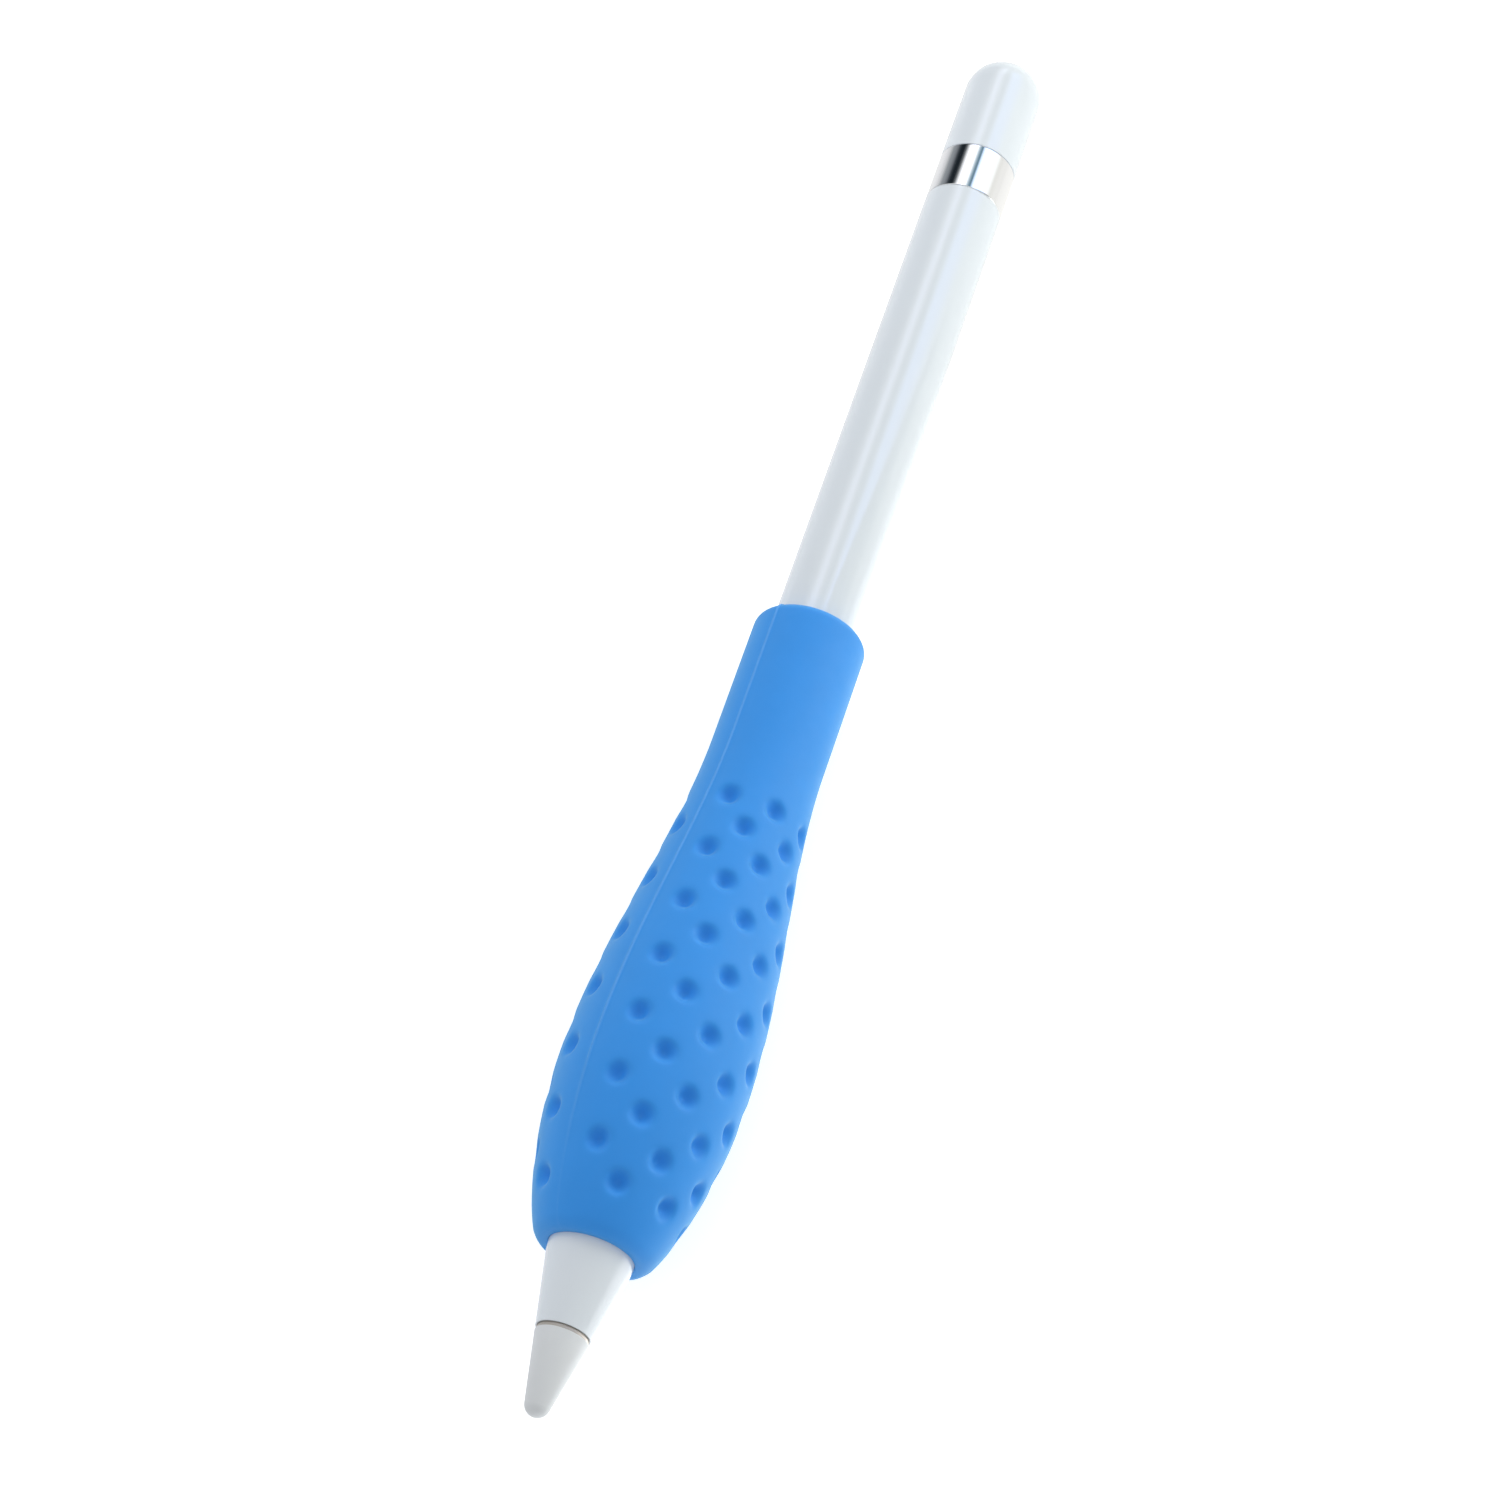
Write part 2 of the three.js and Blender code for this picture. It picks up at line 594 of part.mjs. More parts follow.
// Each stands at a distance behind the upper board's front edge, on the board whose top is given
const boardParts = [
  { name: "board_connector", from: 1, length: 5, width: 4, on: boardTop,
    height: BOARD_SPACING - 2 * SOLDER_GAP, finish: plastics.mouldedNatural },
  { name: "processor_chip", from: 9, length: 8, width: 4, on: boardTop, height: CHIP_HEIGHT,
    finish: electronics.chipBlack },
  { name: "motion_chip", from: 20, length: 3.4, width: 3, on: boardTop, height: CHIP_HEIGHT,
    finish: electronics.chipBlack },
  { name: "radio_shield", from: 2, length: 10, width: 4, on: radioBoardTop, height: SHIELD_HEIGHT,
    finish: metals.steel },
  { name: "radio_chip", from: 13.5, length: 5, width: 3.6, on: radioBoardTop, height: CHIP_HEIGHT,
    finish: electronics.chipBlack },
];
for (const { name, from, length, width, on, height, finish } of boardParts) {
  addPiece(name, level(radioBoardFront + from, length, width, on + SOLDER_GAP, height), finish);
}

// Cell and the flat cable that passes over it

const cellR = cableTop - CABLE_THICKNESS - CELL_CLEARANCE;

addPiece("battery_front_pad", rod(frontPadFront, frontPadFront + CELL_PAD_THICKNESS, cellR),
  plastics.mouldedNatural);
addPiece("battery_cell", rod(cellFront, cellRear, cellR), electronics.cellWrap);
addPiece("battery_rear_pad", rod(rearPadFront, rearPadFront + CELL_PAD_THICKNESS, cellR),
  plastics.mouldedNatural);

/** Flat cable: lands on the upper board, climbs to the top of the bore and runs to the plug's carrier. */
function flexCable() {
  const landing = radioBoardTop + SOLDER_GAP;
  const landingFront = radioBoardFront + RADIO_BOARD_LENGTH - CABLE_LANDING - CABLE_LANDING_SETBACK;
  const climbFront = landingFront + CABLE_LANDING;
  const climbRear = climbFront + CABLE_CLIMB;
  const top = cableTop;
  const outline = [
    [landingFront, landing], [climbFront, landing], [climbRear, top - CABLE_THICKNESS],
    [tailRear, top - CABLE_THICKNESS], [tailRear, top], [climbRear - CABLE_THICKNESS / 2, top],
    [climbFront - CABLE_THICKNESS / 2, landing + CABLE_THICKNESS], [landingFront, landing + CABLE_THICKNESS],
  ];
  const corners = outline.map(([station, height]) => new THREE.Vector2(alongX(station), height));
  const shape = new THREE.Shape(corners);
  const strip = new THREE.ExtrudeGeometry(shape, { depth: CABLE_WIDTH, bevelEnabled: false });
  return strip.rotateX(Math.PI / 2).translate(0, CABLE_WIDTH / 2, 0);
}

addPiece("flex_cable", flexCable(), electronics.flexAmber);

// Antenna carrier and counterweight fill the barrel behind the cell

const splitHeight = STACK_GAP / 2;

/** Upper half-round with a groove for the cable. */
function antennaCarrierSection() {
  const grooveHalf = CABLE_WIDTH / 2 + PIECE_CLEARANCE;
  const grooveFloor = cableTop - CABLE_THICKNESS - CABLE_CLEARANCE;
  const shape = new THREE.Shape();
  const from = Math.asin(splitHeight / fillR);
  const grooveEdge = Math.acos(grooveHalf / fillR);
  shape.absarc(0, 0, fillR, from, grooveEdge, false);
  shape.lineTo(grooveHalf, grooveFloor);
  shape.lineTo(-grooveHalf, grooveFloor);
  shape.absarc(0, 0, fillR, Math.PI - grooveEdge, Math.PI - from, false);
  shape.closePath();
  return shape;
}

function counterweightSection() {
  const shape = new THREE.Shape();
  const from = Math.asin(splitHeight / fillR);
  shape.absarc(0, 0, fillR, Math.PI + from, 2 * Math.PI - from, false);
  shape.closePath();
  return shape;
}

const halfRound = { curveSegments: HALF_ROUND_STEPS };

addPiece("antenna_carrier", pulled(antennaCarrierSection(), tailFront, tailRear - tailFront, halfRound),
  plastics.mouldedBlack);
addPiece("counterweight", pulled(counterweightSection(), tailFront, tailRear - tailFront, halfRound),
  metals.steel);

// Rear bulkhead with the plug, its antenna and the ring that the cap's magnet holds on to

const neckR = fillR - NECK_DEPTH;
const neckFront = plugCarrierFront + CARRIER_NECK_START;
const neckRear = neckFront + ANTENNA_LENGTH + 2 * PIECE_CLEARANCE;
const antennaInnerR = neckR + PIECE_CLEARANCE;
const plugCorner = PLUG_THICKNESS / 2 - 0.05;

function plugSlot(target) {
  const [width, height] = [PLUG_WIDTH + 2 * SLOT_CLEARANCE, PLUG_THICKNESS + 2 * SLOT_CLEARANCE];
  return roundedRectangle(target, 0, 0, width, height, plugCorner + SLOT_CLEARANCE);
}

function slottedDisc(radius) {
  const shape = disc(radius);
  shape.holes.push(plugSlot(new THREE.Path()));
  return shape;
}

function plugCarrier() {
  const body = turned([
    [plugCarrierFront, 0],
    [plugCarrierFront, fillR],
    [neckFront, fillR],
    [neckFront, neckR],
    [neckRear, neckR],
    [neckRear, fillR],
    [bandRear, fillR],
    [bandRear, 0],
  ]);
  const slotFront = bandRear - PLUG_ROOT - SLOT_CLEARANCE;
  const slot = pulled(plugSlot(new THREE.Shape()), slotFront, PLUG_ROOT + PLUG_REACH);
  return geometryOf(solidOf(body).subtract(solidOf(slot)));
}

/** Split ring of sheet metal, open at the bottom. */
function antennaRing() {
  const shape = new THREE.Shape();
  const outerR = antennaInnerR + ANTENNA_THICKNESS;
  const [from, to] = [rad(-90 + ANTENNA_SPLIT / 2), rad(270 - ANTENNA_SPLIT / 2)];
  shape.absarc(0, 0, outerR, from, to, false);
  shape.absarc(0, 0, antennaInnerR, to, from, true);
  shape.closePath();
  return pulled(shape, neckFront + PIECE_CLEARANCE, ANTENNA_LENGTH, { curveSegments: SPLIT_RING_STEPS });
}

function chargePlug() {
  const shape = roundedRectangle(new THREE.Shape(), 0, 0, PLUG_WIDTH, PLUG_THICKNESS, plugCorner);
  return pulled(shape, bandRear - PLUG_ROOT, plugEnd - bandRear + PLUG_ROOT);
}

addPiece("plug_carrier", plugCarrier(), plastics.mouldedBlack);
addPiece("antenna_ring", antennaRing(), metals.copper);
addPiece("charge_plug", chargePlug(), metals.steel);
addPiece("retention_ring",
  pulled(slottedDisc(fillR), retentionFront, RETENTION_RING_THICKNESS),
  metals.steel);

// Cap, with its magnet and the liner that the plug slides into

addPiece("cap_shell", turned([
  [capMouth, boreR],
  [capMouth, barrelR],
  ...arc(OVERALL_LENGTH - barrelR, 0, barrelR, 90, 0, DOME_STEPS).map(([s, r]) => [s, Math.max(0, r)]),
  [capCavityEnd, 0],
  [capCavityEnd, boreR - BARREL_WALL],
  [capCavityEnd - BARREL_WALL, boreR],
  [capMouth, boreR],
], OUTER_SIDES), plastics.glossWhite);
addPiece("cap_magnet", pulled(slottedDisc(fillR), magnetFront, CAP_MAGNET_THICKNESS), metals.magnetNickel);

function capLiner() {
  const body = turned([
    [linerFront, 0],
    [linerFront, fillR],
    [linerRear - BARREL_WALL, fillR],
    [linerRear, fillR - BARREL_WALL],
    [linerRear, 0],
  ]);
  const slot = pulled(plugSlot(new THREE.Shape()), magnetFront, plugEnd + SLOT_CLEARANCE - magnetFront);
  return geometryOf(solidOf(body).subtract(solidOf(slot)));
}

addPiece("cap_liner", capLiner(), plastics.mouldedNatural);

export default stylus;
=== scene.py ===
"""Round stylus that wears a dimpled silicone grip sleeve, with its pull-off cap and screw-on nib."""

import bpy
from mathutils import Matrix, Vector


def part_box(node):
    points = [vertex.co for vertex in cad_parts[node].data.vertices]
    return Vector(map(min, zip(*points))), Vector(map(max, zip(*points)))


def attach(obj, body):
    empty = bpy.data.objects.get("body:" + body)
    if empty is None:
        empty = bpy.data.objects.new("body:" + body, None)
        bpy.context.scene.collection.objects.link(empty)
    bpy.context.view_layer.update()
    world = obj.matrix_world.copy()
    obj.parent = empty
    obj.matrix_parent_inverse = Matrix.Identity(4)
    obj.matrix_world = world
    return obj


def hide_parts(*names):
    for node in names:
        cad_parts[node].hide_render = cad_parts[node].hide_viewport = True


bl_info = {
    "name": "Stylus with grip sleeve",
    "version": (1, 0, 0),
    "blender": (4, 5, 0),
    "location": "3D Viewport > Sidebar > Stylus",
    "description": "Models a round stylus and the dimpled silicone sleeve that slides on it",
    "category": "Object",
}

from math import atan2, cos, hypot, pi, radians, sin

import bmesh
import bpy
from mathutils import Matrix, Vector
from mathutils.geometry import interpolate_bezier
from mathutils.kdtree import KDTree

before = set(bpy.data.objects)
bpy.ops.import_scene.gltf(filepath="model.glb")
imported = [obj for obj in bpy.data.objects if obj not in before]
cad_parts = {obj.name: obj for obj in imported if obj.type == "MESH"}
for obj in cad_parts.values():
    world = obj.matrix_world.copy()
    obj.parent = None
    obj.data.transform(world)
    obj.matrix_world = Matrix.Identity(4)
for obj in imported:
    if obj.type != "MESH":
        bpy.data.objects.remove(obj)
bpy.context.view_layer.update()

# Places that the packed solids give, in metres along the axis
NIB_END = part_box("nib_cone")[0].x
SLEEVE_FRONT, SLEEVE_REAR = (corner.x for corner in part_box("grip_sleeve"))
BARREL_FRONT, BARREL_REAR = (corner.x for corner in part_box("barrel_shell"))
BAND_FRONT, BAND_REAR = (corner.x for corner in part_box("band"))
CAP_MOUTH, CAP_END = (corner.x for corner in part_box("cap_shell"))

# The seat ring's collar, which reaches into a recess in the barrel's front
COLLAR_RADIUS = 0.0026
COLLAR_LENGTH = 0.00018

# Towards the front face the parting lines fade over this stretch, down to this share
SEAM_FADE = (SLEEVE_FRONT + 0.006, SLEEVE_FRONT + 0.026)
SEAM_LEFT = 0.1

# Steps of the mesh round the sleeve from one column place to the next
STEPS_PER_SLOT = 16

# Vertices closer than this become one
MERGE_DISTANCE = 2e-6

# A row of corners this far from a square edge keeps the sides straight beside it
EDGE_MARGIN = 0.0002


def length_setting(name, description, default):
    """A property that holds a length in metres."""
    return bpy.props.FloatProperty(
        name=name, description=description, default=default, unit="LENGTH", precision=5)


def angle_setting(name, description, degrees):
    """A property that holds an angle."""
    return bpy.props.FloatProperty(
        name=name, description=description, default=radians(degrees), subtype="ANGLE")


def colour_setting(name, description, default):
    """A property that holds a colour."""
    return bpy.props.FloatVectorProperty(
        name=name, description=description, default=default, subtype="COLOR", size=3, min=0, max=1)


class SleeveSizes(bpy.types.PropertyGroup):
    """Sizes of the silicone sleeve."""

    bulb: length_setting("Bulb diameter", "Thickest part of the sleeve, near the nib", 0.0196)
    bulb_distance: length_setting("Bulb distance", "From the front face to the thickest part", 0.0203)
    tail: length_setting("Tail diameter", "Straight rear part of the sleeve", 0.0124)
    tail_length: length_setting("Tail length", "Straight rear part of the sleeve", 0.0164)
    shoulder: length_setting("Shoulder diameter", "Where the rounded front edge meets the bulb", 0.0126)
    front_face: length_setting("Front face diameter", "Flat ring round the stylus at the front", 0.0102)
    bore: length_setting("Bore", "Hole that the stylus passes through", 0.00896)
    lip: length_setting("Rear lip radius", "Rounding of the rear rim", 0.00125)
    dimple_depth: length_setting("Dimple depth", "Depth of a dimple in the middle", 0.0011)
    dimple_reach: length_setting("Dimple radius", "Distance over which a dimple runs out", 0.00152)
    dimple_pitch: length_setting("Dimple pitch", "Distance between dimples along a column", 0.007)
    first_dimple: length_setting("First dimple", "From the front face to the first dimple", 0.0049)
    dimple_rows: bpy.props.IntProperty(
        name="Dimples in a column", description="Dimples along one column", default=7, min=1)
    dimple_slots: bpy.props.IntProperty(
        name="Column places", description="Places for columns round the sleeve, with two at the seams",
        default=16, min=4)
    seam_turn: angle_setting(
        "Seam angle", "Of one parting line from the top, towards the right of the picture", -35.3)
    seam_width: length_setting("Seam width", "Width of the parting line", 0.00032)
    seam_height: length_setting("Seam height", "How far the parting line stands up", 0.00016)


class StylusSizes(bpy.types.PropertyGroup):
    """Sizes of the stylus."""

    barrel: length_setting("Barrel diameter", "Diameter of the barrel, the band and the cap", 0.0089)
    wall: length_setting("Wall", "Wall of the barrel, the band and the cap", 0.0006)
    nib_length: length_setting("Nib length", "Length of the nib that screws off", 0.0085)
    nib_base: length_setting("Nib base diameter", "Of the nib where it meets the barrel", 0.00552)
    cone_length: length_setting("Cone length", "Part of the barrel that narrows to the nib", 0.0086)
    edge: length_setting("Edge softness", "Rounding of the barrel's, band's and cap's edges", 0.00008)
    sides: bpy.props.IntProperty(
        name="Steps round", description="Steps round a turned piece", default=128, min=24)


class Finishes(bpy.types.PropertyGroup):
    """Colours of the finishes."""

    silicone: colour_setting("Silicone", "Grip sleeve", (0.020, 0.277, 0.81))
    shell: colour_setting("Shell", "Barrel and cap", (0.73, 0.78, 0.825))
    nib: colour_setting("Nib", "Nib that screws off", (0.675, 0.695, 0.71))
    chrome: colour_setting("Band", "Polished band", (0.90, 0.91, 0.92))
    seat_ring: colour_setting("Seat ring", "Thin ring behind the nib", (0.62, 0.575, 0.52))


class StageSettings(bpy.types.PropertyGroup):
    """Camera, lamps and floor."""

    azimuth: angle_setting("Camera azimuth", "From the front, over the floor", -72.93)
    elevation: angle_setting("Camera elevation", "Above the floor", 61.18)
    distance: length_setting("Camera distance", "From the point it looks at", 0.42175)
    aim: bpy.props.FloatVectorProperty(
        name="Aim", description="Point that the camera looks at", subtype="TRANSLATION", unit="LENGTH",
        default=(-0.01050, 0.00201, 0.00033))
    lens: bpy.props.FloatProperty(
        name="Focal length", description="Of the camera in millimetres, on a 36 mm sensor", default=96.0)
    lean: angle_setting("Floor lean", "The thicker sleeve lifts the nib end of the axis off the floor", 2.3)
    floor_colour: colour_setting("Floor", "Colour of the floor", (0.90, 0.90, 0.90))
    sky: bpy.props.FloatProperty(
        name="Room light", description="Strength of the light from all round", default=0.66)


def select_only(*pieces):
    """Leaves only these objects selected, the last one active."""
    bpy.ops.object.select_all(action="DESELECT")
    for piece in pieces:
        piece.select_set(True)
        bpy.context.view_layer.objects.active = piece


def along(distance):
    """X of a distance from the nib's end."""
    return NIB_END + distance


def draw_line(name, places):
    """Draws a line through places, as a new object that is left in edit mode with all of it selected."""
    bpy.ops.object.select_all(action="DESELECT")
    bpy.ops.mesh.primitive_plane_add(size=0.0001, location=places[0])
    line = bpy.context.object
    line.name = line.data.name = name
    bpy.ops.object.mode_set(mode="EDIT")
    bpy.ops.mesh.select_all(action="SELECT")
    bpy.ops.mesh.merge(type="CENTER")
    for here, there in zip(places, places[1:]):
        bpy.ops.mesh.extrude_vertices_move(TRANSFORM_OT_translate={"value": there - here})
    bpy.ops.mesh.select_all(action="SELECT")
    return line


def turn_profile(name, corners, sides, start=0.0):
    """Turns corners of (X, radius) round the axis. Start is the angle of the first column from the top."""
    out = Vector((0, -sin(start), cos(start)))
    piece = draw_line(name, [Vector((x, 0, 0)) + r * out for x, r in corners])
    bpy.ops.mesh.spin(steps=sides, angle=2 * pi, center=(0, 0, 0), axis=(1, 0, 0))
    bpy.ops.mesh.select_all(action="SELECT")
    bpy.ops.mesh.remove_doubles(threshold=MERGE_DISTANCE)
    bpy.ops.mesh.normals_make_consistent(inside=False)
    bpy.ops.object.mode_set(mode="OBJECT")
    bpy.ops.object.transform_apply(location=True, rotation=True, scale=True)
    return piece


def soften_edges(piece, width, segments=3, angle=radians(30)):
    """Rounds the edges that are sharper than an angle."""
    select_only(piece)
    bevel = piece.modifiers.new("Soft edges", "BEVEL")
    bevel.width = width
    bevel.segments = segments
    bevel.limit_method = "ANGLE"
    bevel.angle_limit = angle
    bpy.ops.object.modifier_apply(modifier=bevel.name)


def finish_piece(piece, body, slot, material, *nodes, smooth=radians(35)):
    """Smooths a piece, gives it its finish, ties it to its body and hides the nodes that it stands for."""
    select_only(piece)
    bpy.ops.object.shade_smooth_by_angle(angle=smooth)
    piece.data.materials.clear()
    piece.data.materials.append(material)
    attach(piece, body)
    if nodes:
        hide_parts(*nodes)


def dress_node(node, material):
    """Gives a carried-over node its finish."""
    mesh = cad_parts[node].data
    mesh.materials.clear()
    mesh.materials.append(material)


def compute(tree, operation, *sources):
    """The result of a Math node."""
    node = tree.nodes.new("ShaderNodeMath")
    node.operation = operation
    for source, socket in zip(sources, node.inputs):
        tree.links.new(source, socket)
    return node.outputs["Value"]


def carry_over(tree, source, before, after=(0, 1), smooth=False):
    """Takes a number from one range to another and keeps it inside the second."""
    node = tree.nodes.new("ShaderNodeMapRange")
    if smooth:
        node.interpolation_type = "SMOOTHSTEP"
    for name, value in zip(("From Min", "From Max", "To Min", "To Max"), (*before, *after)):
        node.inputs[name].default_value = value
    tree.links.new(source, node.inputs["Value"])
    return node.outputs["Result"]


def split(tree, vector):
    """The X, Y and Z of a vector."""
    node = tree.nodes.new("ShaderNodeSeparateXYZ")
    tree.links.new(vector, node.inputs["Vector"])
    return node.outputs


def colour_ramp(tree, factor, shades):
    """A colour that runs through shades, each given with its place from 0 to 1."""
    node = tree.nodes.new("ShaderNodeValToRGB")
    tree.links.new(factor, node.inputs["Fac"])
    stops = node.color_ramp.elements
    for place, shade in shades:
        stops.new(place).color = (*shade, 1)
    stops.remove(stops[0])
    stops.remove(stops[-1])
    return node.outputs["Color"]


class Finish:
    """A material under construction: its nodes, its links and its main shader."""

    def __init__(self, name, colour, roughness, metallic=0.0):
        self.material = bpy.data.materials.new(name)
        self.material.use_nodes = True
        self.material.diffuse_color = (*colour, 1)
        self.tree = self.material.node_tree
        self.nodes, self.links = self.tree.nodes, self.tree.links
        self.shader = self.nodes["Principled BSDF"]
        self.shader.inputs["Base Color"].default_value = (*colour, 1)
        self.shader.inputs["Roughness"].default_value = roughness
        self.shader.inputs["Metallic"].default_value = metallic
        self.colour = colour
        self.place = self.nodes.new("ShaderNodeTexCoord").outputs["Object"]

    def noise(self, scale, detail=2.0, stretch=(1, 1, 1)):
        """Noise in object coordinates, its features about one over scale metres across."""
        mapping = self.nodes.new("ShaderNodeMapping")
        mapping.inputs["Scale"].default_value = stretch
        self.links.new(self.place, mapping.inputs["Vector"])
        noise = self.nodes.new("ShaderNodeTexNoise")
        noise.inputs["Scale"].default_value = scale
        noise.inputs["Detail"].default_value = detail
        self.links.new(mapping.outputs["Vector"], noise.inputs["Vector"])
        return noise.outputs["Fac"]

    def rings(self, scale, distortion=0.0, direction="X"):
        """Fine bands, which lie across the axis unless they get another direction."""
        wave = self.nodes.new("ShaderNodeTexWave")
        wave.wave_type = "BANDS"
        wave.bands_direction = direction
        wave.inputs["Scale"].default_value = scale
        wave.inputs["Distortion"].default_value = distortion
        wave.inputs["Detail"].default_value = 1.0
        self.links.new(self.place, wave.inputs["Vector"])
        return wave.outputs["Fac"]

    def blend_colours(self, factor, *colours):
        """A mix of two colours, each a colour or a socket, as a factor goes from 0 to 1."""
        mix = self.nodes.new("ShaderNodeMix")
        mix.data_type = "RGBA"
        for colour, socket in zip(colours, mix.inputs[6:8]):
            if isinstance(colour, bpy.types.NodeSocket):
                self.links.new(colour, socket)
            else:
                socket.default_value = (*colour, 1)
        self.links.new(factor, mix.inputs[0])
        return mix.outputs[2]

    def mottled(self, scale, share, **noise):
        """The base colour, varied by a share either way."""
        dark = [c * (1 - share) for c in self.colour]
        light = [min(1.0, c * (1 + share)) for c in self.colour]
        return self.blend_colours(self.noise(scale, **noise), dark, light)

    def paint(self, colour):
        self.links.new(colour, self.shader.inputs["Base Color"])

    def mottle(self, scale, share, **noise):
        self.paint(self.mottled(scale, share, **noise))

    def vary_roughness(self, factor, *ends):
        self.links.new(carry_over(self.tree, factor, (0, 1), ends), self.shader.inputs["Roughness"])

    def emboss(self, height, strength, distance):
        """Adds relief on top of any that is there."""
        bump = self.nodes.new("ShaderNodeBump")
        bump.inputs["Strength"].default_value = strength
        bump.inputs["Distance"].default_value = distance
        self.links.new(height, bump.inputs["Height"])
        normal = self.shader.inputs["Normal"]
        if normal.is_linked:
            self.links.new(normal.links[0].from_socket, bump.inputs["Normal"])
        self.links.new(bump.outputs["Normal"], normal)


def silicone_finish(colour, seam_turn, seam_width):
    """Satin moulded silicone with a fine grain, and a painted highlight along the raised parting lines."""
    finish = Finish("Silicone", colour, 0.64)
    tree = finish.tree
    across = tree.nodes.new("ShaderNodeVectorMath")
    across.operation = "DOT_PRODUCT"
    across.inputs[1].default_value = (0, cos(seam_turn), sin(seam_turn))
    tree.links.new(finish.place, across.inputs[0])
    distance = compute(tree, "ABSOLUTE", across.outputs["Value"])
    # Painted highlight: the colour turns paler along each parting line, for the light that the raised ridge
    # catches, faded towards the front face
    line = carry_over(tree, distance, (seam_width * 0.2, seam_width * 0.7), (0.28, 0), smooth=True)
    kept = carry_over(tree, split(tree, finish.place)["X"], SEAM_FADE, (SEAM_LEFT, 1))
    skin = finish.mottled(260, 0.035, detail=3)
    # Paler blue of the painted highlight on the parting lines
    seam_highlight_colour = (0.25, 0.55, 0.95)
    finish.paint(finish.blend_colours(compute(tree, "MULTIPLY", line, kept), skin, seam_highlight_colour))
    finish.vary_roughness(finish.noise(900, 3), 0.58, 0.70)
    finish.emboss(finish.noise(7000, 2), 0.10, 0.00003)
    finish.emboss(finish.noise(450, 2), 0.05, 0.0001)
    finish.shader.inputs["IOR"].default_value = 1.49
    finish.shader.inputs["Sheen Weight"].default_value = 0.26
    finish.shader.inputs["Sheen Tint"].default_value = (0.55, 1.0, 0.62, 1)
    finish.shader.inputs["Sheen Roughness"].default_value = 0.5
    return finish.material


def gloss_shell_finish(colour):
    """High-gloss white plastic."""
    finish = Finish("Gloss shell", colour, 0.05)
    finish.mottle(120, 0.008)
    finish.vary_roughness(finish.noise(500, 3), 0.035, 0.07)
    finish.emboss(finish.noise(160, 1), 0.02, 0.00004)
    finish.shader.inputs["IOR"].default_value = 1.5
    return finish.material


def nib_finish(colour):
    """Matte moulded plastic of the nib."""
    finish = Finish("Nib polymer", colour, 0.42)
    finish.mottle(700, 0.02, detail=3)
    finish.vary_roughness(finish.noise(2500, 2), 0.36, 0.48)
    finish.emboss(finish.noise(9000, 2), 0.08, 0.00002)
    return finish.material


def chrome_finish(colour):
    """Polished metal with faint smudges."""
    finish = Finish("Polished band", colour, 0.08, 1.0)
    finish.vary_roughness(finish.noise(350, 3), 0.07, 0.10)
    return finish.material


def turned_metal_finish(name, colour, roughness):
    """Metal with the fine rings that a lathe leaves."""
    finish = Finish(name, colour, roughness, 1.0)
    finish.mottle(900, 0.05, detail=3)
    finish.vary_roughness(finish.noise(1500, 2), roughness * 0.8, roughness * 1.25)
    finish.emboss(finish.rings(1500, 0.6), 0.12, 0.00001)
    return finish.material


def sheet_metal_finish(name, colour, roughness):
    """Rolled sheet metal with a fine grain along the stylus."""
    finish = Finish(name, colour, roughness, 1.0)
    finish.mottle(500, 0.05, detail=3)
    grain = finish.noise(2500, 2, stretch=(0.08, 1, 1))
    finish.vary_roughness(grain, roughness * 0.8, roughness * 1.3)
    finish.emboss(grain, 0.08, 0.00001)
    return finish.material


def moulded_finish(name, colour, roughness=0.5):
    """Moulded plastic with a spark-eroded grain."""
    finish = Finish(name, colour, roughness)
    finish.mottle(600, 0.05, detail=3)
    finish.vary_roughness(finish.noise(1800, 2), roughness - 0.06, roughness + 0.08)
    finish.emboss(finish.noise(5200, 2), 0.18, 0.00003)
    return finish.material


def board_finish():
    """Green solder mask over copper tracks."""
    mask = (0.010, 0.085, 0.040)
    finish = Finish("Solder mask", mask, 0.35)
    tracks = finish.nodes.new("ShaderNodeTexBrick")
    tracks.offset = 0.35
    settings = {
        "Color1": (*mask, 1), "Color2": (0.014, 0.105, 0.048, 1), "Mortar": (0.030, 0.170, 0.075, 1),
        "Scale": 1.0, "Mortar Size": 0.00006, "Brick Width": 0.0016, "Row Height": 0.00042}
    for name, value in settings.items():
        tracks.inputs[name].default_value = value
    finish.links.new(finish.place, tracks.inputs["Vector"])
    finish.paint(tracks.outputs["Color"])
    finish.emboss(tracks.outputs["Fac"], 0.2, 0.00002)
    finish.vary_roughness(finish.noise(2200, 2), 0.28, 0.42)
    return finish.material


def chip_finish():
    """Black moulded epoxy."""
    finish = Finish("Chip epoxy", (0.012, 0.013, 0.015), 0.55)
    finish.mottle(3000, 0.25)
    finish.emboss(finish.noise(9000, 1), 0.15, 0.00001)
    return finish.material


def cell_finish():
    """Dark shrink film round the cell, with long soft creases."""
    finish = Finish("Cell film", (0.045, 0.07, 0.13), 0.28)
    finish.mottle(300, 0.08)
    creases = finish.noise(500, 2, stretch=(0.12, 1, 1))
    finish.emboss(creases, 0.25, 0.00008)
    finish.vary_roughness(creases, 0.2, 0.38)
    return finish.material


def cable_finish():
    """Amber polyimide film over copper tracks that run along the cable."""
    finish = Finish("Polyimide film", (0.50, 0.24, 0.03), 0.32)
    tracks = finish.rings(1100, 0.0, "Y")
    finish.paint(finish.blend_colours(tracks, (0.46, 0.20, 0.025), (0.62, 0.33, 0.06)))
    finish.emboss(tracks, 0.15, 0.00002)
    return finish.material


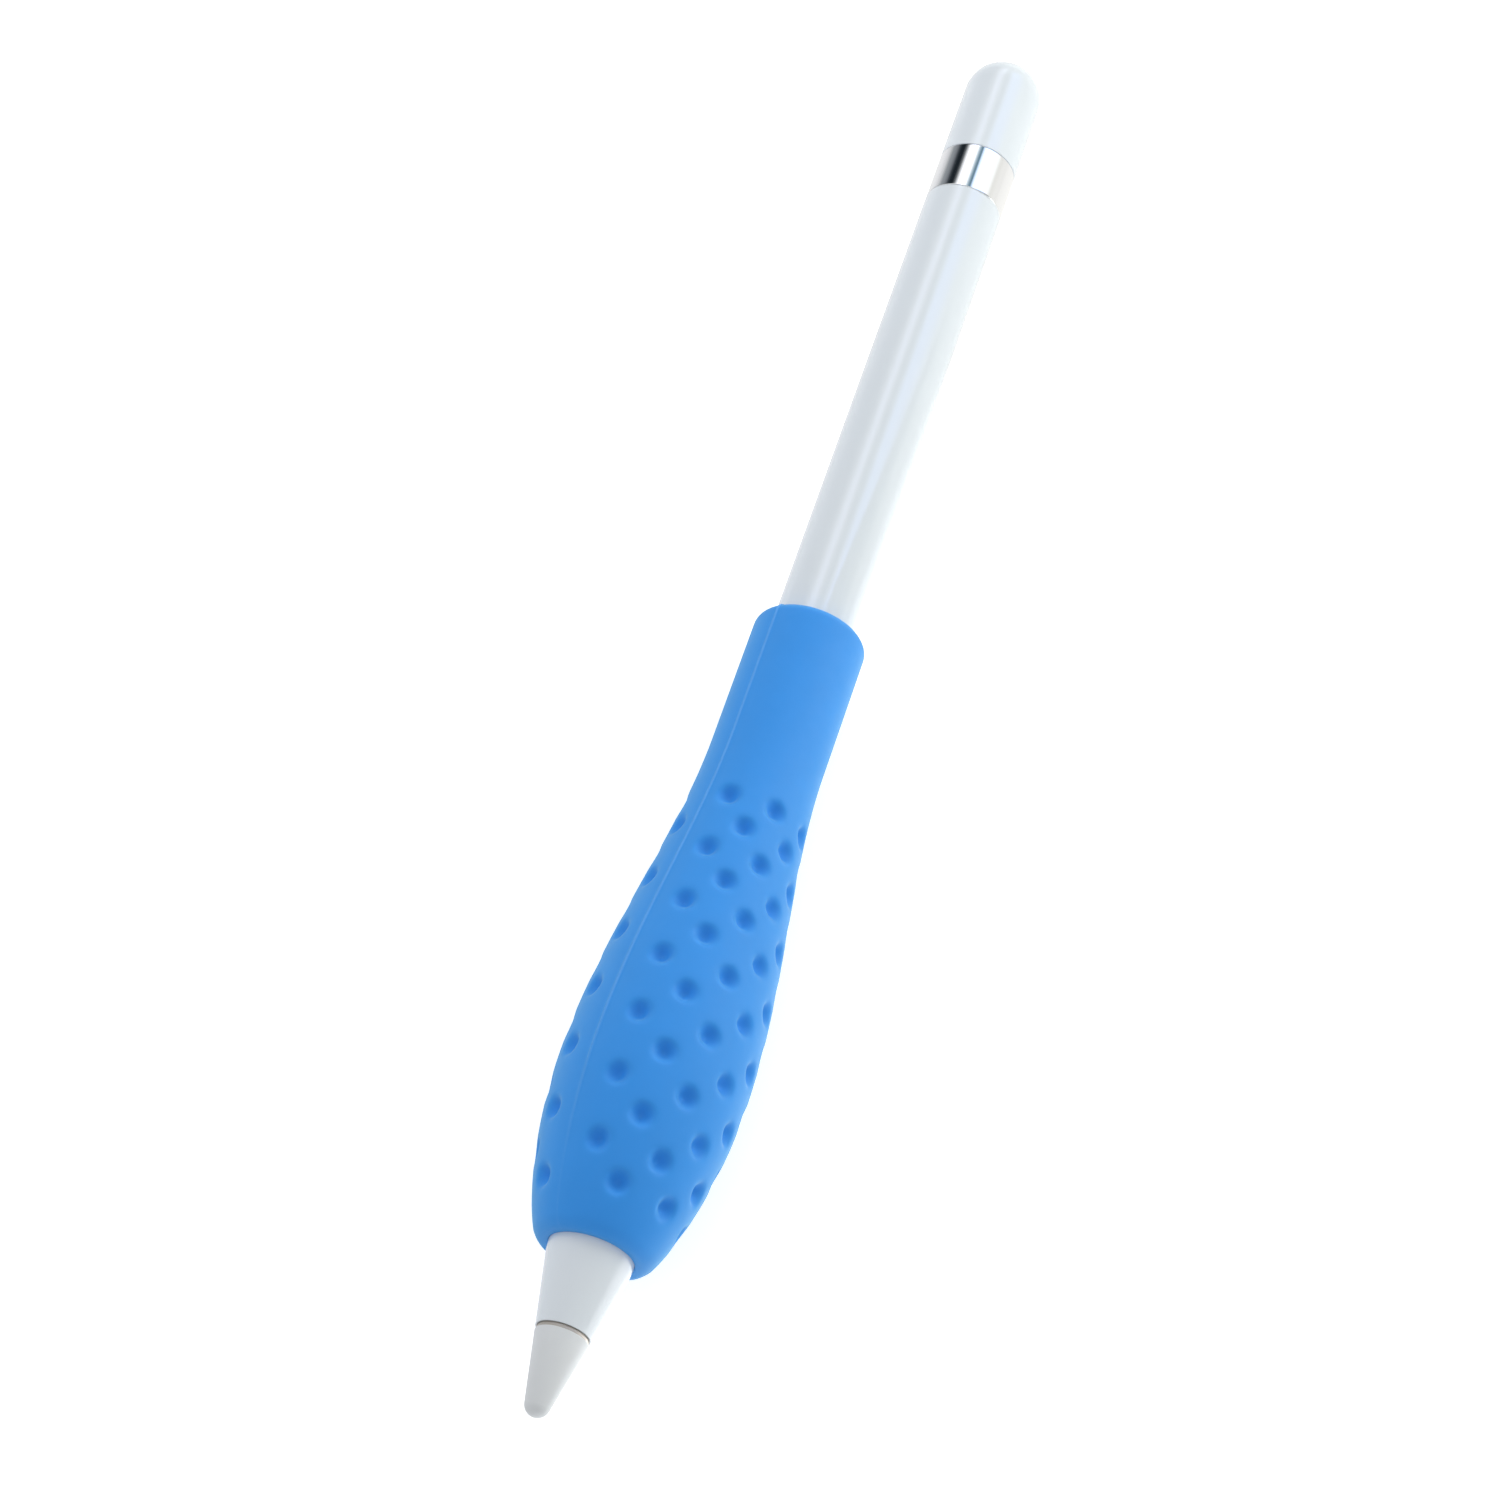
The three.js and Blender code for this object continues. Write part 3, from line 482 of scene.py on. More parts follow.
def sleeve_outline(sizes):
    """Corners of the sleeve's outside, from its front face to its rear face."""
    bulb, tail, shoulder, face = (d / 2 for d in (sizes.bulb, sizes.tail, sizes.shoulder, sizes.front_face))
    front, rear = SLEEVE_FRONT, SLEEVE_REAR
    shoulder_x = front + 0.0009
    bulb_x = front + sizes.bulb_distance
    tail_x = rear - sizes.tail_length
    mid = (face + shoulder) / 2

    def curve(a, b, c, d, count):
        return [(p.x, p.y) for p in interpolate_bezier(*(Vector((*q, 0)) for q in (a, b, c, d)), count)]

    # How far the curves' handles reach from the shoulder, from the bulb to either side and from the tail
    flare, bulb_forward, bulb_back, tail_forward = (0.0026, 0.0013), 0.0095, 0.014, 0.0125
    rounding = curve((front, face), (front, face + (mid - face) * 2 / 3),
                     (front + (shoulder_x - front) / 3, shoulder - (shoulder - mid) * 2 / 3),
                     (shoulder_x, shoulder), 7)
    swell = curve((shoulder_x, shoulder), (shoulder_x + flare[0], shoulder + flare[1]),
                  (bulb_x - bulb_forward, bulb), (bulb_x, bulb), 300)
    taper = curve((bulb_x, bulb), (bulb_x + bulb_back, bulb),
                  (tail_x - tail_forward, tail), (tail_x, tail), 500)
    flank = swell + taper[1:] + [(rear - sizes.lip, tail)]

    def radius_at(x):
        for (x0, r0), (x1, r1) in zip(flank, flank[1:]):
            if x0 <= x <= x1:
                return r0 + (r1 - r0) * (x - x0) / (x1 - x0)
        return tail

    # Corners stand close together under the dimples and from a little before them to a little behind
    fine, wide, before, behind = 0.00025, 0.0011, 0.0019, 0.003
    first = sizes.first_dimple - fine * round((sizes.first_dimple - before) / fine)
    count = round((sizes.dimple_pitch * sizes.dimple_rows + behind) / fine)
    grid = [front + first + fine * i for i in range(count)]
    start = [shoulder_x + (grid[0] - shoulder_x) * i / 3 for i in (1, 2)]
    end = rear - sizes.lip
    coarse = round((end - grid[-1]) / wide)
    run_out = [grid[-1] + (end - grid[-1]) * i / coarse for i in range(1, coarse)]
    lip = [(end + sizes.lip * sin(a), tail - sizes.lip + sizes.lip * cos(a))
           for a in (pi / 2 * i / 10 for i in range(11))]
    return rounding + [(x, radius_at(x)) for x in start + grid + run_out] + lip


def turned_angle(place):
    """Angle of a point round the axis, from the top towards -Y."""
    return atan2(-place.y, place.z)


class STYLUS_OT_grip_sleeve(bpy.types.Operator):
    """Model the silicone sleeve with its dimples and parting lines"""

    bl_idname = "stylus.grip_sleeve"
    bl_label = "Grip sleeve"

    def execute(self, context):
        sizes = context.scene.sleeve_sizes
        outline = sleeve_outline(sizes)
        bore = sizes.bore / 2
        near_ends = [0.0003, 0.0009, 0.002, 0.0045]
        middle = [(SLEEVE_REAR - SLEEVE_FRONT) * i / 12 for i in range(2, 11)]
        back = [SLEEVE_REAR - d for d in near_ends + middle]
        back += [SLEEVE_FRONT + d for d in reversed(near_ends)]
        corners = [(SLEEVE_FRONT, bore), (SLEEVE_FRONT, (bore + outline[0][1]) / 2), *outline,
                   (SLEEVE_REAR, (bore + outline[-1][1]) / 2), (SLEEVE_REAR, bore),
                   *((x, bore) for x in back), (SLEEVE_FRONT, bore)]
        steps = STEPS_PER_SLOT * sizes.dimple_slots
        sleeve = turn_profile("grip_sleeve_silicone", corners, steps, sizes.seam_turn)
        soften_edges(sleeve, 0.00003, 2)
        bpy.ops.object.mode_set(mode="EDIT")
        bpy.ops.mesh.select_mode(type="VERT")
        self.raise_seams(sleeve, sizes)
        self.press_dimples(sleeve, sizes)
        bpy.ops.object.mode_set(mode="OBJECT")
        silicone = silicone_finish(context.scene.finishes.silicone, sizes.seam_turn, sizes.seam_width)
        finish_piece(sleeve, "sleeve", "sleeve_silicone", silicone, "grip_sleeve", smooth=radians(60))
        return {"FINISHED"}

    def raise_seams(self, sleeve, sizes):
        """Draws the columns beside each parting line close to it and lifts the line between them."""
        mesh = bmesh.from_edit_mesh(sleeve.data)
        step = 2 * pi / (STEPS_PER_SLOT * sizes.dimple_slots)
        clear_of_bore = sizes.bore / 2 + 0.0004
        first, last = SLEEVE_FRONT + 0.0002, SLEEVE_REAR - 0.0001
        outside = [v for v in mesh.verts if hypot(v.co.y, v.co.z) > clear_of_bore and first < v.co.x < last]
        for seam in (sizes.seam_turn, sizes.seam_turn + pi):
            for vert in outside:
                offset = (turned_angle(vert.co) - seam + pi) % (2 * pi) - pi
                radius = hypot(vert.co.y, vert.co.z)
                if abs(offset) < step * 0.2:
                    faded = (vert.co.x - SEAM_FADE[0]) / (SEAM_FADE[1] - SEAM_FADE[0])
                    radius += sizes.seam_height * (SEAM_LEFT + (1 - SEAM_LEFT) * max(0.0, min(1.0, faded)))
                    vert.co.y, vert.co.z = -radius * sin(seam), radius * cos(seam)
                elif abs(abs(offset) - step) < step * 0.2:
                    angle = seam + (sizes.seam_width / 2 / radius) * (1 if offset > 0 else -1)
                    vert.co.y, vert.co.z = -radius * sin(angle), radius * cos(angle)
        bmesh.update_edit_mesh(sleeve.data)

    def press_dimples(self, sleeve, sizes):
        """Pulls the surface in round the middle of each dimple, in a wide pass and a narrow one."""
        slot = 2 * pi / sizes.dimple_slots
        places = []
        for side in range(2):
            for column in range(1, sizes.dimple_slots // 2):
                angle = sizes.seam_turn + pi * side + slot * column
                stagger = sizes.dimple_pitch / 2 if (column + side) % 2 else 0.0
                start = SLEEVE_FRONT + sizes.first_dimple + stagger
                places += [(start + row * sizes.dimple_pitch, angle) for row in range(sizes.dimple_rows)]
        mesh = bmesh.from_edit_mesh(sleeve.data)
        mesh.verts.ensure_lookup_table()
        skin = [v for v in mesh.verts if hypot(v.co.y, v.co.z) > sizes.bore / 2 + 0.001]
        # The tree finds by place along the axis, counted a hundredfold, and by direction from it
        stretch = 100
        tree = KDTree(len(skin))
        for vert in skin:
            direction = Vector((vert.co.y, vert.co.z)).normalized()
            tree.insert(Vector((vert.co.x * stretch, *direction)), vert.index)
        tree.balance()
        bpy.ops.mesh.select_all(action="DESELECT")
        for x, angle in places:
            _, index, _ = tree.find(Vector((x * stretch, -sin(angle), cos(angle))))
            mesh.verts[index].select = True
        mesh.select_flush_mode()
        bmesh.update_edit_mesh(sleeve.data)
        for depth, reach in ((0.2, 1.35), (0.8, 1.0)):
            bpy.ops.transform.shrink_fatten(
                value=-sizes.dimple_depth * depth, use_proportional_edit=True,
                proportional_edit_falloff="SMOOTH", proportional_size=sizes.dimple_reach * reach)


class STYLUS_OT_nib(bpy.types.Operator):
    """Model the nib and the thin ring that it seats on"""

    bl_idname = "stylus.nib"
    bl_label = "Nib"

    def execute(self, context):
        sizes, finishes = context.scene.stylus_sizes, context.scene.finishes
        base, length = sizes.nib_base / 2, sizes.nib_length
        slope = (sizes.barrel / 2 - base) / sizes.cone_length
        lean = atan2(slope, 1)
        tip = (base - slope * length) / (cos(lean) - slope * (1 - sin(lean)))
        rear, socket, socket_end = along(length), 0.0015, along(0.00455)
        dome = [(along(tip - tip * cos(a)), tip * sin(a))
                for a in ((pi / 2 - lean) * i / 14 for i in range(15))]
        nib = turn_profile("nib_polymer", [
            *dome, (rear, base), (rear, socket), (socket_end, socket), (socket_end, 0)], sizes.sides // 2)
        soften_edges(nib, 0.00005, 2)
        finish_piece(nib, "nib", "nib_grey", nib_finish(finishes.nib), "nib_cone")

        low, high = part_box("seat_ring")
        hole, collar_hole, collar_rear = 0.0008, 0.00105, high.x + COLLAR_LENGTH
        ring = turn_profile("nib_stop_ring", [
            (low.x, hole), (low.x, high.y), (high.x, high.y), (high.x, COLLAR_RADIUS),
            (collar_rear, COLLAR_RADIUS), (collar_rear, collar_hole), (high.x, collar_hole),
            (high.x, hole), (low.x, hole)], sizes.sides // 2)
        soften_edges(ring, 0.00003, 2)
        tan_metal = turned_metal_finish("Stop ring metal", finishes.seat_ring, 0.6)
        finish_piece(ring, "tip", "ring_tan", tan_metal, "seat_ring")
        return {"FINISHED"}


class STYLUS_OT_barrel(bpy.types.Operator):
    """Model the barrel's tube with its cone"""

    bl_idname = "stylus.barrel"
    bl_label = "Barrel"

    def execute(self, context):
        sizes = context.scene.stylus_sizes
        outer, inner = sizes.barrel / 2, sizes.barrel / 2 - sizes.wall
        slope = (outer - sizes.nib_base / 2) / sizes.cone_length
        cone_rear = along(sizes.nib_length + sizes.cone_length)

        def cone_radius(x):
            return outer - slope * (cone_rear - x)

        hole, front_wall = 0.0013, BARREL_FRONT + 0.0006
        recess, floor = COLLAR_RADIUS + 0.00003, BARREL_FRONT + COLLAR_LENGTH + 0.00004
        # The lip rounds the front rim, and the cone runs into the tube over the bend
        lip, beside_lip, bend, drop = 0.00005, 0.0003, 0.0006, 0.00003
        rim = BARREL_FRONT + lip
        mouth = [(BARREL_FRONT + lip * (1 - sin(a)), cone_radius(rim) - lip * (1 - cos(a)))
                 for a in (pi / 10 * i for i in range(5, 0, -1))]
        corners = [
            (floor, hole), (floor, recess), (BARREL_FRONT, recess), *mouth, (rim, cone_radius(rim)),
            (BARREL_FRONT + beside_lip, cone_radius(BARREL_FRONT + beside_lip)),
            (cone_rear - bend, cone_radius(cone_rear - bend)), (cone_rear, outer - drop),
            (cone_rear + bend, outer), (BARREL_REAR - EDGE_MARGIN, outer), (BARREL_REAR, outer),
            (BARREL_REAR, inner), (cone_rear, inner), (front_wall, cone_radius(front_wall) - sizes.wall),
            (front_wall, hole), (floor, hole)]
        barrel = turn_profile("barrel_tube", corners, sizes.sides)
        soften_edges(barrel, sizes.edge, 3)
        finish_piece(barrel, "barrel", "barrel_white", gloss_shell_finish(context.scene.finishes.shell),
                     "barrel_shell")
        return {"FINISHED"}


class STYLUS_OT_band(bpy.types.Operator):
    """Model the polished band near the cap"""

    bl_idname = "stylus.band"
    bl_label = "Band"

    def execute(self, context):
        sizes = context.scene.stylus_sizes
        outer, inner = sizes.barrel / 2, sizes.barrel / 2 - sizes.wall
        band = turn_profile("polished_band", [
            (BAND_FRONT, inner), (BAND_FRONT, outer), (BAND_FRONT + EDGE_MARGIN, outer),
            (BAND_REAR - EDGE_MARGIN, outer), (BAND_REAR, outer), (BAND_REAR, inner), (BAND_FRONT, inner)],
            sizes.sides)
        soften_edges(band, sizes.edge, 3)
        finish_piece(band, "barrel", "band_chrome", chrome_finish(context.scene.finishes.chrome), "band")
        return {"FINISHED"}


class STYLUS_OT_cap(bpy.types.Operator):
    """Model the domed cap"""

    bl_idname = "stylus.cap"
    bl_label = "Cap"

    def execute(self, context):
        sizes = context.scene.stylus_sizes
        outer, inner = sizes.barrel / 2, sizes.barrel / 2 - sizes.wall
        centre = CAP_END - outer
        floor = centre - sizes.wall
        dome = [(centre + outer * sin(a), outer * cos(a)) for a in (pi / 2 * i / 24 for i in range(24))]
        corners = [
            (CAP_MOUTH, inner), (CAP_MOUTH, outer), (CAP_MOUTH + EDGE_MARGIN, outer), *dome, (CAP_END, 0),
            (floor, 0), (floor, inner - sizes.wall), (floor - sizes.wall, inner), (CAP_MOUTH, inner)]
        cap = turn_profile("cap_dome", corners, sizes.sides)
        soften_edges(cap, sizes.edge, 3)
        finish_piece(cap, "cap", "cap_white", gloss_shell_finish(context.scene.finishes.shell), "cap_shell")
        return {"FINISHED"}


class STYLUS_OT_shaft(bpy.types.Operator):
    """Model the shaft with the thread that the nib turns on"""

    bl_idname = "stylus.shaft"
    bl_label = "Shaft"

    def execute(self, context):
        low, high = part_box("tip_shaft")
        gap, root, crest, pitch = 0.00002, 0.0006, 0.00074, 0.0005
        chamfer, stem, stub = 0.0001, 0.001, 0.0006
        seat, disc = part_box("seat_ring")[1].x + gap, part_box("pressure_disc")[0].x - gap
        shaft = turn_profile("threaded_shaft", [
            (low.x, 0), (low.x, root - chamfer), (low.x + chamfer, root), (seat, root), (seat, stem),
            (disc, stem), (disc, stub), (high.x, stub), (high.x, 0)], 48)
        soften_edges(shaft, 0.00004, 2)

        # Section of the ridge, with its foot sunk into the post
        start, foot, flank, flat = low.x + 0.00012, root - 0.00002, 0.00017, 0.00009
        section = ((0, foot), (flank, crest), (flank + flat, crest), (2 * flank + flat, foot), (0, foot))
        ridge = draw_line("thread_ridge", [Vector((start + x, 0, z)) for x, z in section])
        bpy.ops.mesh.remove_doubles(threshold=MERGE_DISTANCE)
        bpy.ops.object.mode_set(mode="OBJECT")
        bpy.ops.object.transform_apply(location=True)
        thread = ridge.modifiers.new("Thread", "SCREW")
        thread.axis = "X"
        thread.screw_offset = pitch
        thread.iterations = int((seat - low.x) / pitch) - 1
        thread.steps = thread.render_steps = 40
        bpy.ops.object.modifier_apply(modifier=thread.name)
        bpy.ops.object.mode_set(mode="EDIT")
        bpy.ops.mesh.select_all(action="SELECT")
        bpy.ops.mesh.fill_holes(sides=4)
        bpy.ops.mesh.normals_make_consistent(inside=False)
        bpy.ops.object.mode_set(mode="OBJECT")
        select_only(ridge, shaft)
        bpy.ops.object.join()
        steel = turned_metal_finish("Shaft steel", (0.42, 0.44, 0.46), 0.24)
        finish_piece(shaft, "tip", "steel", steel, "tip_shaft")
        return {"FINISHED"}


class STYLUS_OT_connector(bpy.types.Operator):
    """Model the charging plug with its contacts"""

    bl_idname = "stylus.connector"
    bl_label = "Connector"

    def execute(self, context):
        low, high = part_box("charge_plug")
        # The contacts lie in a recess on either side, which has a rim and its floor at the height bed
        panel = (high.x - 0.0052, high.x - 0.0008)
        bed, rim = high.z - 0.00012, 0.0001
        plug = self.rounded_bar("plug_tongue", (low.x, *panel, high.x), high.y, high.z)
        bpy.ops.object.mode_set(mode="EDIT")
        bpy.ops.mesh.select_all(action="DESELECT")
        bpy.ops.mesh.select_mode(type="FACE")
        bpy.ops.object.mode_set(mode="OBJECT")
        for face in plug.data.polygons:
            face.select = abs(face.normal.z) > 0.99 and panel[0] < face.center.x < panel[1]
        bpy.ops.object.mode_set(mode="EDIT")
        bpy.ops.mesh.inset(thickness=rim)
        bpy.ops.mesh.extrude_region_shrink_fatten(TRANSFORM_OT_shrink_fatten={"value": bed - high.z})
        bpy.ops.mesh.select_mode(type="VERT")
        bpy.ops.object.mode_set(mode="OBJECT")
        soften_edges(plug, 0.00008, 3, radians(40))
        nickel = sheet_metal_finish("Plug nickel", (0.56, 0.55, 0.53), 0.22)
        finish_piece(plug, "barrel", "steel", nickel, "charge_plug")

        middle = sum(panel) / 2
        bed_size, contact_size = (0.0040, 0.0034, 0.00004), (0.0033, 0.00028, 0.00008)
        bedding = self.both_sides("contact_bed", middle, bed + 0.00001, bed_size)
        black = moulded_finish("Contact bed", (0.03, 0.032, 0.035), 0.4)
        finish_piece(bedding, "barrel", "moulded_black", black)
        pads = self.both_sides("plug_contacts", middle, bed + 0.00004, contact_size, 8, 0.00042)
        gold = sheet_metal_finish("Contact gold", (0.78, 0.55, 0.22), 0.2)
        finish_piece(pads, "barrel", "brass", gold)

        # The plug has play in the ring's slot, and the bar that cuts the slot reaches past the ring
        play, past = 0.0001, 0.001
        front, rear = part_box("retention_ring")
        ring = turn_profile("retention_disc", [
            (front.x, 0), (front.x, rear.y), (rear.x, rear.y), (rear.x, 0)], 160)
        soften_edges(ring, 0.0001, 3)
        slot = self.rounded_bar("plug_slot", (front.x - past, rear.x + past), high.y + play, high.z + play)
        cut = ring.modifiers.new("Slot", "BOOLEAN")
        cut.object = slot
        select_only(ring)
        bpy.ops.object.modifier_apply(modifier=cut.name)
        bpy.data.objects.remove(slot)
        steel = sheet_metal_finish("Retention steel", (0.60, 0.61, 0.62), 0.25)
        finish_piece(ring, "barrel", "steel", steel, "retention_ring")
        return {"FINISHED"}

    def rounded_bar(self, name, stops, half_width, half_height):
        """A bar along the stylus with rounded sides, in as many lengths as there are stops less one."""
        bpy.ops.object.select_all(action="DESELECT")
        bpy.ops.mesh.primitive_plane_add(size=1, location=(stops[0], 0, 0), rotation=(0, pi / 2, 0))
        bar = bpy.context.object
        bar.name = bar.data.name = name
        bar.scale = (2 * half_height, 2 * half_width, 1)
        bpy.ops.object.transform_apply(location=True, rotation=True, scale=True)
        bpy.ops.object.mode_set(mode="EDIT")
        bpy.ops.mesh.select_all(action="SELECT")
        bpy.ops.mesh.bevel(offset=half_height - 0.00005, affect="VERTICES", segments=10)
        for x0, x1 in zip(stops, stops[1:]):
            bpy.ops.mesh.extrude_region_move(TRANSFORM_OT_translate={"value": (x1 - x0, 0, 0)})
        bpy.ops.mesh.select_all(action="SELECT")
        bpy.ops.mesh.normals_make_consistent(inside=False)
        bpy.ops.object.mode_set(mode="OBJECT")
        return bar

    def both_sides(self, name, x, z, size, count=1, pitch=0.0):
        """Thin plates on the plug, in a row across it at X and Z, and the same on its lower side."""
        bpy.ops.object.select_all(action="DESELECT")
        first = -pitch * (count - 1) / 2
        bpy.ops.mesh.primitive_cube_add(size=1, location=(x, first, z), scale=size)
        plate = bpy.context.object
        plate.name = plate.data.name = name
        bpy.ops.object.transform_apply(location=True, rotation=True, scale=True)
        soften_edges(plate, min(size) * 0.3, 2)
        row = plate.modifiers.new("Row", "ARRAY")
        row.use_relative_offset = False
        row.use_constant_offset = True
        row.constant_offset_displace = (0, pitch, 0)
        row.count = count
        bpy.ops.object.modifier_apply(modifier=row.name)
        other = plate.modifiers.new("Other side", "MIRROR")
        other.use_axis = (False, False, True)
        other.use_mirror_merge = False
        bpy.ops.object.modifier_apply(modifier=other.name)
        return plate


class STYLUS_OT_inside(bpy.types.Operator):
    """Give the pieces inside the stylus their finishes"""

    bl_idname = "stylus.inside"
    bl_label = "Inside pieces"

    def execute(self, context):
        steel = turned_metal_finish("Turned steel", (0.42, 0.44, 0.46), 0.3)
        sheet = sheet_metal_finish("Sheet steel", (0.50, 0.51, 0.52), 0.32)
        nickel = sheet_metal_finish("Nickel plate", (0.46, 0.45, 0.42), 0.24)
        brass = turned_metal_finish("Brass", (0.58, 0.37, 0.11), 0.28)
        copper = sheet_metal_finish("Copper", (0.62, 0.27, 0.12), 0.3)
        black = moulded_finish("Black moulding", (0.02, 0.022, 0.025))
        natural = moulded_finish("Natural moulding", (0.76, 0.72, 0.60), 0.42)
        finishes = {
            "nib_insert": brass, "pressure_disc": steel, "shaft_bush": natural,
            "tilt_ring": copper, "front_carrier": black, "flexure_spring": sheet, "force_sensor": nickel,
            "board_carrier": black, "logic_board": board_finish(), "radio_board": board_finish(),
            "board_connector": natural, "processor_chip": chip_finish(), "motion_chip": chip_finish(),
            "radio_shield": sheet, "radio_chip": chip_finish(), "battery_front_pad": natural,
            "battery_cell": cell_finish(), "battery_rear_pad": natural, "flex_cable": cable_finish(),
            "antenna_carrier": black, "counterweight": steel, "plug_carrier": black,
            "antenna_ring": copper, "cap_magnet": nickel, "cap_liner": natural}
        for node, material in finishes.items():
            dress_node(node, material)
        return {"FINISHED"}


# The shades of a light are given for angles up to this many degrees from the top, on either side
SHADE_REACH = 100


def shaded_light(name, shades, strength):
    """Light whose colour follows the angle round the stylus, in degrees from the top."""
    material = bpy.data.materials.new(name)
    material.use_nodes = True
    tree = material.node_tree
    tree.nodes.clear()
    sides = split(tree, tree.nodes.new("ShaderNodeTexCoord").outputs["Object"])
    turn = compute(tree, "ARCTAN2", sides["Y"], sides["Z"])
    place = carry_over(tree, turn, (radians(SHADE_REACH), radians(-SHADE_REACH)))
    placed = [((angle + SHADE_REACH) / SHADE_REACH / 2, [c / strength for c in shade])
              for angle, shade in shades]
    light = tree.nodes.new("ShaderNodeEmission")
    light.inputs["Strength"].default_value = strength
    tree.links.new(colour_ramp(tree, place, placed), light.inputs["Color"])
    tree.links.new(light.outputs["Emission"], tree.nodes.new("ShaderNodeOutputMaterial").inputs["Surface"])
    return material


# What reflections see on the floor, from 0.1 m on the window's side (0) to 0.1 m on the other (1), divided
# by FLOOR_STRENGTH
FLOOR_BY_BARREL = (
    (0.30, (0.232, 0.229, 0.221)), (0.475, (0.262, 0.259, 0.251)), (0.54, (0.225, 0.225, 0.225)),
    (0.58, (0.21, 0.21, 0.214)), (0.64, (0.176, 0.176, 0.18)), (0.81, (0.135, 0.139, 0.143)),
    (0.99, (0.105, 0.109, 0.113)))
FLOOR_BY_SLEEVE = (
    (0.01, (0.50, 0.51, 0.52)), (0.30, (0.74, 0.75, 0.76)), (0.45, (0.68, 0.69, 0.70)),
    (0.55, (0.22, 0.22, 0.23)), (0.70, (0.17, 0.18, 0.19)), (0.99, (0.17, 0.18, 0.19)))
FLOOR_STRENGTH = 4.0


def floor_finish(colour):
    """Pale floor: white to the camera, with a soft shadow, and in reflections darker on the far side."""
    finish = Finish("Studio floor", colour, 0.7)
    finish.mottle(40, 0.004)
    tree = finish.tree
    path = tree.nodes.new("ShaderNodeLightPath").outputs
    seen = compute(tree, "MAXIMUM", path["Is Camera Ray"], path["Is Transmission Ray"])
    glow, glow_to_camera = 0.15, 0.55
    finish.shader.inputs["Emission Color"].default_value = (1, 1, 1, 1)
    tree.links.new(carry_over(tree, seen, (0, 1), (glow, glow_to_camera)),
                   finish.shader.inputs["Emission Strength"])
    sides = split(tree, finish.place)
    across = carry_over(tree, sides["Y"], (-0.1, 0.1))
    along_axis = carry_over(tree, sides["X"], (0.01, 0.05))
    both = finish.blend_colours(
        along_axis, colour_ramp(tree, across, FLOOR_BY_SLEEVE), colour_ramp(tree, across, FLOOR_BY_BARREL))
    reflected = tree.nodes.new("ShaderNodeEmission")
    reflected.inputs["Strength"].default_value = FLOOR_STRENGTH
    tree.links.new(both, reflected.inputs["Color"])
    either = tree.nodes.new("ShaderNodeMixShader")
    surfaces = finish.shader.outputs["BSDF"], reflected.outputs["Emission"]
    for source, socket in zip((path["Is Glossy Ray"], *surfaces), either.inputs):
        tree.links.new(source, socket)
    tree.links.new(either.outputs["Shader"], tree.nodes["Material Output"].inputs["Surface"])
    return finish.material


def reflection_card(name, turns, front, rear, distance, material):
    """A curved sheet round the axis that only reflections see. Front is its X at both angles."""
    count = 24
    angles = [turns[0] + (turns[1] - turns[0]) * i / count for i in range(count + 1)]
    fronts = [front[0] + (front[1] - front[0]) * i / count for i in range(count + 1)]
    places = [Vector((x, -distance * sin(a), distance * cos(a))) for x, a in zip(fronts, angles)]
    card = draw_line(name, places)
    bpy.ops.mesh.extrude_edges_move(TRANSFORM_OT_translate={"value": (rear - front[0], 0, 0)})
    bpy.ops.object.mode_set(mode="OBJECT")
    bpy.ops.object.transform_apply(location=True)
    card.data.materials.append(material)
    card.visible_camera = card.visible_diffuse = card.visible_shadow = False
    card.visible_transmission = card.visible_volume_scatter = False


def soft_lamp(name, turn, x, distance, size_x, size_round, power, colour):
    """A flat lamp that faces the axis. The cards stand for it in reflections."""
    bpy.ops.object.select_all(action="DESELECT")
    back = Vector((0, -sin(turn), cos(turn)))
    bpy.ops.object.light_add(type="AREA", location=Vector((x, 0, 0)) + distance * back)
    lamp = bpy.context.object
    lamp.name = name
    side = Vector((1, 0, 0))
    rows = Matrix((side, back.cross(side), back)).transposed()
    lamp.rotation_euler = rows.to_euler()
    lamp.data.shape = "RECTANGLE"
    lamp.data.size = size_x
    lamp.data.size_y = size_round
    lamp.data.energy = power
    lamp.data.color = colour
    lamp.visible_glossy = False


# What polished surfaces see behind the stylus and in the window, by the angle in degrees from the top
WALL_SHADES = (
    (-92, (0.33, 0.35, 0.37)), (-79, (0.26, 0.28, 0.30)), (-71, (0.17, 0.18, 0.20)),
    (-65, (0.05, 0.06, 0.07)), (-58, (0.012, 0.017, 0.022)), (-49, (0.012, 0.017, 0.022)),
    (-42, (0.15, 0.16, 0.17)), (-37, (0.70, 0.71, 0.72)), (-30, (1.4, 1.42, 1.5)), (-23, (2.5, 2.6, 3.2)),
    (-15, (2.4, 2.5, 3.1)), (-8, (1.1, 1.15, 1.2)), (-2, (0.40, 0.52, 0.60)), (4, (0.12, 0.22, 0.30)),
    (12, (0.10, 0.14, 0.17)), (66, (0.14, 0.16, 0.18)), (76, (0.88, 0.87, 0.83)), (92, (0.95, 0.94, 0.91)))
WINDOW_SHADES = (
    (6, (0.16, 0.28, 0.36)), (9, (0.65, 0.80, 0.97)), (14, (1.1, 1.3, 1.9)), (19, (1.45, 1.95, 3.5)),
    (28, (1.3, 1.8, 3.2)), (40, (1.18, 1.55, 2.8)), (50, (1.16, 1.35, 1.9)), (58, (1.14, 1.17, 1.2)),
    (64, (1.05, 1.06, 1.03)), (70, (0.88, 0.88, 0.84)), (76, (0.87, 0.86, 0.82)))
SIDE_SHADES = ((60, (0.6, 0.6, 0.6)), (70, (6.0, 6.2, 6.4)), (92, (6.0, 6.2, 6.4)))

